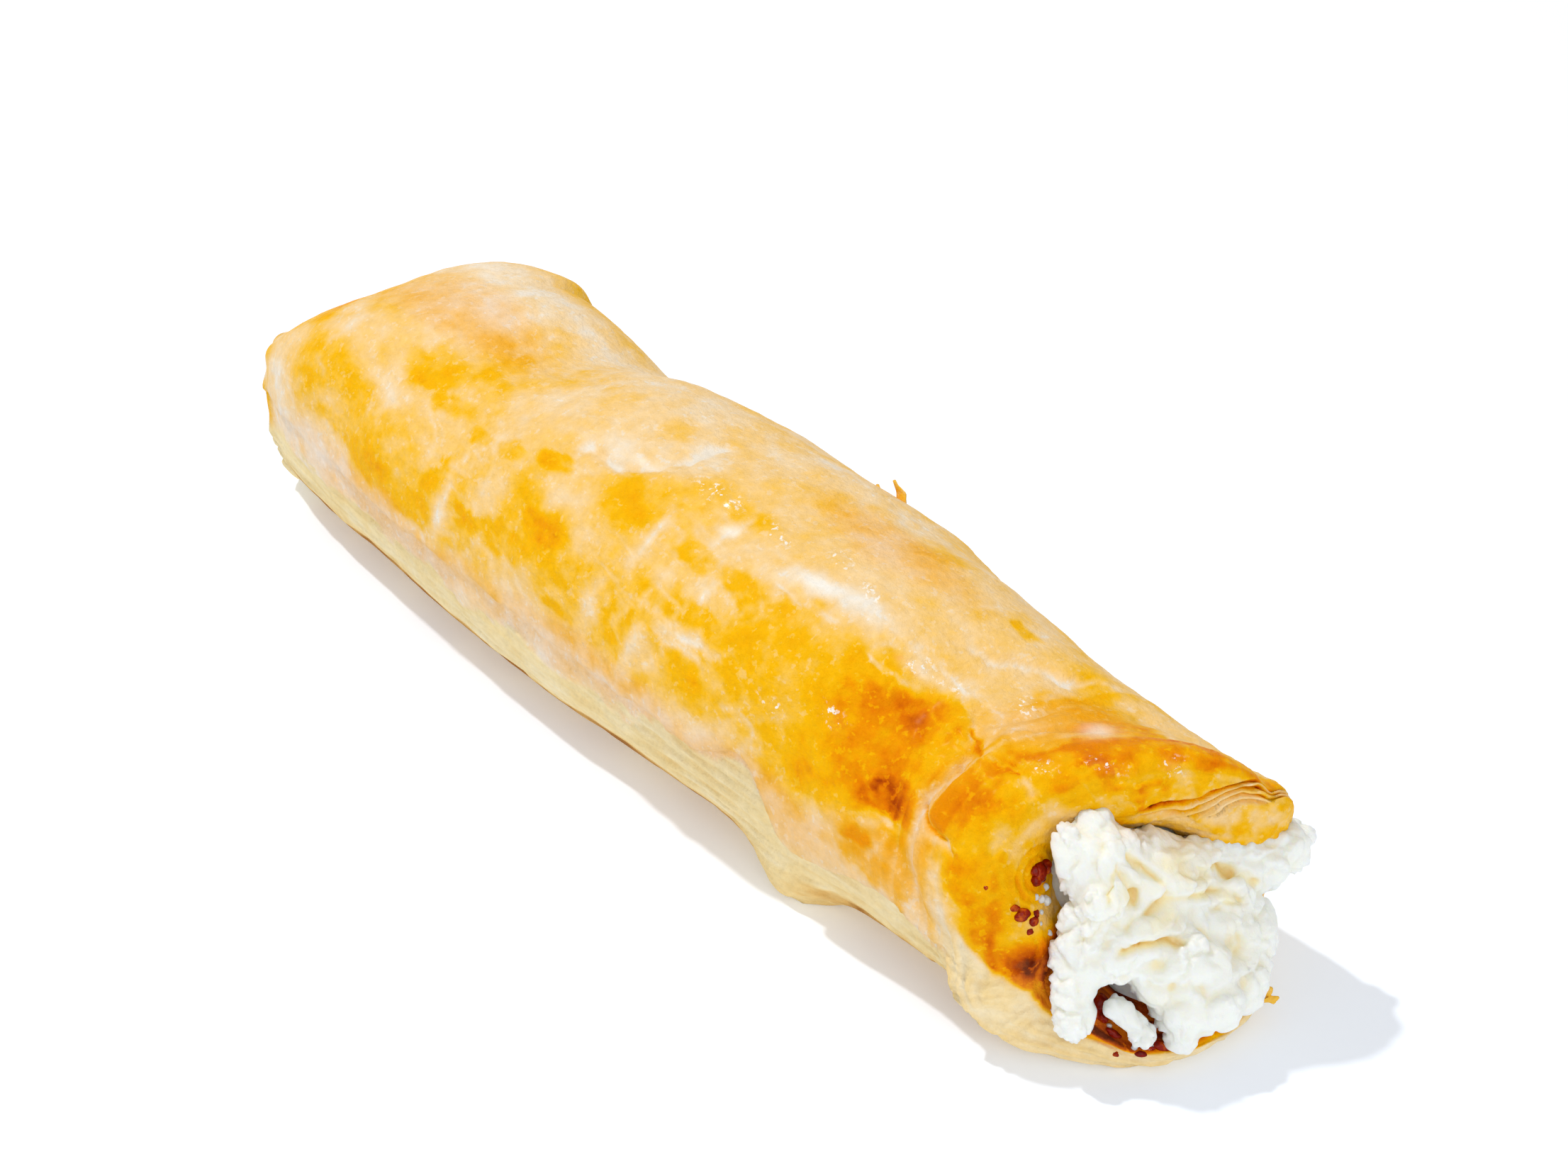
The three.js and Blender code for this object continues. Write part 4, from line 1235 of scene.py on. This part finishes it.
curd_tubes = [finger(*curd, seed=100 + number) for number, curd in enumerate(CURDS)]
for back in np.array(CURD_BACKS):
    middle, half = back[:3], back[3:]
    tip = (half[0], 0, 0)
    curd_tubes.append(tube_arrays(middle + ball_outward() * half, middle - tip, middle + tip))
curds = tubes_piece("cheese_curds", curd_tubes, {})
remesh = curds.modifiers.new("skin", "REMESH")
remesh.mode = "VOXEL"
remesh.voxel_size = CURD_VOXEL * MM
remesh.use_smooth_shade = True
curd_skin = bpy.data.meshes.new_from_object(curds.evaluated_get(bpy.context.evaluated_depsgraph_get()))
curds.modifiers.clear()
curds.data = curd_skin


def mesh_arrays(mesh):
    """Points in millimetres, normals and edges of a mesh as arrays."""
    points = np.empty((len(mesh.vertices), 3), np.float32)
    normals = np.empty((len(mesh.vertices), 3), np.float32)
    edges = np.empty((len(mesh.edges), 2), np.int32)
    mesh.vertices.foreach_get("co", points.ravel())
    mesh.vertex_normals.foreach_get("vector", normals.ravel())
    mesh.edges.foreach_get("vertices", edges.ravel())
    return points.astype(float) / MM, normals.astype(float), edges


def smoothed(values, edges, passes):
    """Values evened out in so many passes, each giving a point the mean of its neighbours along the edges."""
    count = np.maximum(np.bincount(edges.ravel(), minlength=len(values)), 1)
    count = count.reshape(-1, *[1] * (values.ndim - 1))
    for _ in range(passes):
        total = np.zeros(values.shape)
        np.add.at(total, edges[:, 0], values[edges[:, 1]])
        np.add.at(total, edges[:, 1], values[edges[:, 0]])
        values = total / count
    return values


curd_points, curd_normals, curd_edges = mesh_arrays(curds.data)
smooth = smoothed(curd_points, curd_edges, CURD_SMOOTHING)
torn = np.stack([rough(smooth, 4, 3, seed) for seed in (81, 85, 89)], -1)
crumbling = ramp(rough(smooth, 4.5, 2, 97), -0.1, 0.4)
lump_height = LUMPY["height"] + LUMPY["crumbly"] * crumbling
swell = lump_height * ramp(cell_borders(smooth + LUMPY["stray"] * torn, LUMPY["cell"], 91), 0, LUMPY["edge"])
grains = cell_borders(smooth + CRUMBLY["stray"] * torn, CRUMBLY["cell"], 95)
swell += CRUMBLY["height"] * crumbling * ramp(grains, 0, CRUMBLY["edge"])
folds = np.abs(rough(smooth + FOLDED["stray"] * torn, FOLDED["size"], 3, 83))
swell += FOLDED["height"] * folds - FOLDED["sink"]
# Painted shade: cream-yellow along each crease and at the shaded spots, beside the crease's real groove.
yellow = np.zeros(len(smooth))
for width, depth, yellowing, *path in CREASES:
    distance = path_distance(smooth + CREASE_STRAY * torn, path)
    swell -= depth * bell(distance, 0, width)
    yellow = np.maximum(yellow, yellowing * bell(distance, 0, CREASE_YELLOW_WIDTH * width))
for *place, reach in SHADED_CREAM_SPOTS:
    distance = np.linalg.norm(smooth + torn - place, axis=-1)
    yellow = np.maximum(yellow, SPOT_SHADE_YELLOW * bell(distance, 0, reach))
curd_points = smooth + swell[:, None] * curd_normals
curds.data.vertices.foreach_set("co", (curd_points * MM).astype(np.float32).ravel())
curds.data.update()
# Painted shade: the further a point lies below the mean of its neighbours, the creamier its colour.
below = ((smoothed(curd_points, curd_edges, HOLLOW["passes"]) - curd_points) * curd_normals).sum(-1)
cream_shade = smoothed(np.clip(below / HOLLOW["depth"], 0, 1), curd_edges, HOLLOW["softening"])
cream_shade = np.maximum(cream_shade, yellow)
curds.data.attributes.new("cream_shade", "FLOAT", "POINT").data.foreach_set("value", cream_shade.astype(np.float32))
curds.data.materials.clear()
curds.data.materials.append(cheese)
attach(curds, "root")
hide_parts("cheese_filling")


# Beads: drops of juice that ran from the cheese and burnt to dark, glossy caramel on the mouth's edge.
# Each is a small rough ball, flattened on the rim, that sits in the crust.
BEADS = (  # angle and turn on the rim, length round, length over the rim, height
    (151, 99, 2.4, 2.0, 0.9),
    (148, 107, 1.6, 1.4, 0.8),
    (154, 95, 1.5, 1.3, 0.6),
    (149.5, 92, 1.1, 1.0, 0.5),
    (167.5, 76, 1.3, 1.8, 0.55),
    (171, 86, 1.1, 1.2, 0.5),
    (164.5, 70, 0.8, 1.0, 0.4),
    (168.5, 92, 0.9, 0.9, 0.4),
    (174, 80, 0.7, 0.8, 0.3),
    (158, 44, 0.5, 0.5, 0.25),
    (227, 122, 3.2, 2.2, 0.8),
    (231, 134, 2.4, 2, 0.9),
    (223, 116, 1.5, 1.3, 0.6),
    (226, 104, 1.2, 1, 0.4),
    (233, 122, 1.4, 1.1, 0.5),
    (238, 112, 2.0, 0.8, 0.4),
    (255, 118, 2.6, 1.1, 0.5),
    (251, 111, 1.2, 0.8, 0.4),
    (249, 92, 1.4, 0.7, 0.3),
    (243, 70, 0.7, 0.6, 0.25),
)
BEAD_UNEVEN = 0.17


def bead(angle, turn, round_size, over_size, height, seed):
    """Rough lump on the near rim as a closed tube: a ball stretched along the rim's two directions and
    flattened along its normal, with a radius that varies with noise."""
    steps = np.radians([[angle, turn], [angle + 1, turn], [angle, turn + 1]])
    place, beside, over = near_rim(steps[:, 0], steps[:, 1])
    sideways = (beside - place) / np.linalg.norm(beside - place)
    normal = np.cross(beside - place, over - place)
    normal = normal / np.linalg.norm(normal)
    onward = np.cross(normal, sideways)
    axes = np.stack([normal * height, sideways * round_size / 2, onward * over_size / 2])
    outward = ball_outward()
    size = 1 + BEAD_UNEVEN * rough(outward, 0.8, 2, seed)
    grid = place + (outward * size[..., None]) @ axes
    return tube_arrays(grid, grid[0].mean(0), grid[-1].mean(0))


BURNT_COLOURS = (
    (0.34, srgb(98, 8, 2)),
    (0.52, srgb(140, 24, 2)),
    (0.68, srgb(198, 88, 4)),
)
BURNT_FINISH = {"Roughness": 0.22, "Specular IOR Level": 0.05, "Coat Weight": 0.2, "Coat Roughness": 0.1}


def burnt_material():
    """Dark red-brown caramel with amber grains, under a gloss."""
    material, tree, shader, place = new_material("burnt_juice")
    colour = colour_ramp(tree, grain(tree, place, 900, 4), BURNT_COLOURS)
    tree.links.new(colour, shader.inputs["Base Color"])
    set_inputs(shader, BURNT_FINISH)
    return material


bead_tubes = [bead(*drop, seed=200 + number) for number, drop in enumerate(BEADS)]
beads = tubes_piece("browned_beads", bead_tubes, {})
beads.data.materials.append(burnt_material())
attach(beads, "root")


# Crumbs: grains of the same cheese that stuck to the mouth's edge and the lip when it was filled.
# Each is a small rough lump made as the beads are, and sits in the crust.
CRUMBS = (  # angle and turn on the rim, size
    (164, 103, 0.9),
    (162, 96, 0.7),
    (166, 110, 1.1),
    (169, 100, 0.6),
    (173, 96, 0.5),
    (160, 112, 0.9),
    (178, 104, 0.7),
    (214, 78, 0.5),
    (236, 118, 0.6),
    (222, 98, 0.5),
    (246, 104, 0.7),
    (251, 112, 0.9),
)
CRUMB_SHAPE = np.array([1, 0.8, 0.45])  # length round, length over the rim and height for a size of one

crumb_tubes = []
for number, (angle, turn, size) in enumerate(CRUMBS):
    crumb_tubes.append(bead(angle, turn, *(size * CRUMB_SHAPE), seed=300 + number))
crumbs = tubes_piece("cheese_crumbs", crumb_tubes, {"cream_shade": 0.1})
crumbs.data.materials.append(cheese)
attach(crumbs, "root")


# Flakes: thin scraps of the crust's outer layers that lifted and curled as it baked.
# Each is a leaf drawn along a bent spine.
FLAKES = (  # half width, half thickness, then the spine
    (1.3, 0.18, (13, 13.6, 27.5), (12.9, 14.6, 30), (12.2, 15.2, 32), (11.6, 15, 33.4)),
    (1.4, 0.16, (8.6, 14.2, 28.6), (8.8, 14.8, 30.2), (8.6, 15.1, 31.4)),
    (0.7, 0.14, (77, 9.4, 2.4), (77.8, 10.8, 2.8), (78.4, 11.6, 3.8)),
    (0.5, 0.12, (77.6, 9.9, 2.2), (78.6, 11.2, 2.3), (79.2, 11.9, 2.9)),
)
LEAF_ROWS = 24
LEAF_SIDES = 14
LEAF_RAGGED = 0.35
LEAF_CURL = 0.3
FLAKE_FIELDS = {"bake": 0.44, "dough": 0, "browned_and_shade": 0, "blush": 0, "glint": 0.1, "painted_sheen": 0}


def leaf(half_width, half_thick, *spine, seed=0):
    """Thin closed leaf: flat oval rings along a smooth spine, widest in the middle and ragged by noise."""
    share = np.linspace(0, 1, LEAF_ROWS)
    knots = np.linspace(0, 1, len(spine))
    path = np.stack([np.interp(share, knots, axis) for axis in np.array(spine, float).T], -1)
    path[1:-1] = (path[:-2] + 2 * path[1:-1] + path[2:]) / 4
    forward = np.gradient(path, axis=0)
    forward = forward / np.linalg.norm(forward, axis=-1, keepdims=True)
    sideways = np.cross(forward, (0.2, 1, 0.4))
    sideways = sideways / np.linalg.norm(sideways, axis=-1, keepdims=True)
    normal = np.cross(sideways, forward)
    turn = np.linspace(0, 2 * np.pi, LEAF_SIDES, endpoint=False)
    taper = np.sin(np.pi * (0.12 + 0.86 * share)) ** 0.7
    ragged = 1 + LEAF_RAGGED * noise(np.stack([share * 9, 0 * share, 0 * share], -1), 1, seed)
    across = (half_width * taper * ragged)[:, None] * np.cos(turn)
    raised = half_thick * np.sin(turn) + LEAF_CURL * across**2 / half_width
    grid = path[:, None] + across[..., None] * sideways[:, None] + raised[..., None] * normal[:, None]
    return tube_arrays(grid[:, ::-1], grid[0].mean(0), grid[-1].mean(0))


flake_tubes = [leaf(*flake, seed=400 + number) for number, flake in enumerate(FLAKES)]
flakes = tubes_piece("crust_flakes", flake_tubes, FLAKE_FIELDS)
flakes.data.materials.append(crust.data.materials[0])
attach(flakes, "root")


# Floor and light: a plain pale floor under a broad pale sky, both apart from the object.
# A small lamp high towards the far end casts the shadow, and a broad fill at the front right softens it.
FLOOR_HALF = 3.0
LAMP_DIRECTION = np.array([-0.5, -0.2, 1.0])
LAMP_DISTANCE = 1.2
LAMP_SIZE = 0.05
LAMP_POWER = 6.2
FILL_PLACE = (1.32, -0.6, 0.85)
FILL_SIZE = 1.5
FILL_POWER = 9.2
FLOOR_COLOUR = srgb(231, 238, 249)
WHITE = (1, 1, 1, 1)
SKY_STRENGTH = 0.55

floor_corners = FLOOR_HALF * np.array([[-1, -1, 0], [1, -1, 0], [1, 1, 0], [-1, 1, 0]]) / MM
floor = mesh_piece("floor", floor_corners, np.array([[0, 1, 2, 3]]), {})
floor_material, _, floor_shader, _ = new_material("pale_floor")
set_inputs(floor_shader, {"Base Color": FLOOR_COLOUR, "Roughness": 0.9})
set_inputs(floor_shader, {"Emission Color": WHITE, "Emission Strength": 0.2})
floor.data.materials.append(floor_material)


def area_light(name, place, size, power):
    """Round lamp at a place, turned towards the origin."""
    data = bpy.data.lights.new(name, "AREA")
    data.shape = "DISK"
    data.size = size
    data.energy = power
    light = bpy.data.objects.new(name, data)
    light.location = place
    light.rotation_euler = mathutils.Vector(place).to_track_quat("Z", "Y").to_euler()
    bpy.context.scene.collection.objects.link(light)


area_light("lamp", LAMP_DIRECTION / np.linalg.norm(LAMP_DIRECTION) * LAMP_DISTANCE, LAMP_SIZE, LAMP_POWER)
area_light("fill", FILL_PLACE, FILL_SIZE, FILL_POWER)

world = bpy.data.worlds.new("sky")
world.use_nodes = True
set_inputs(world.node_tree.nodes["Background"], {"Color": WHITE, "Strength": SKY_STRENGTH})
bpy.context.scene.world = world
bpy.context.scene.view_settings.view_transform = "Standard"
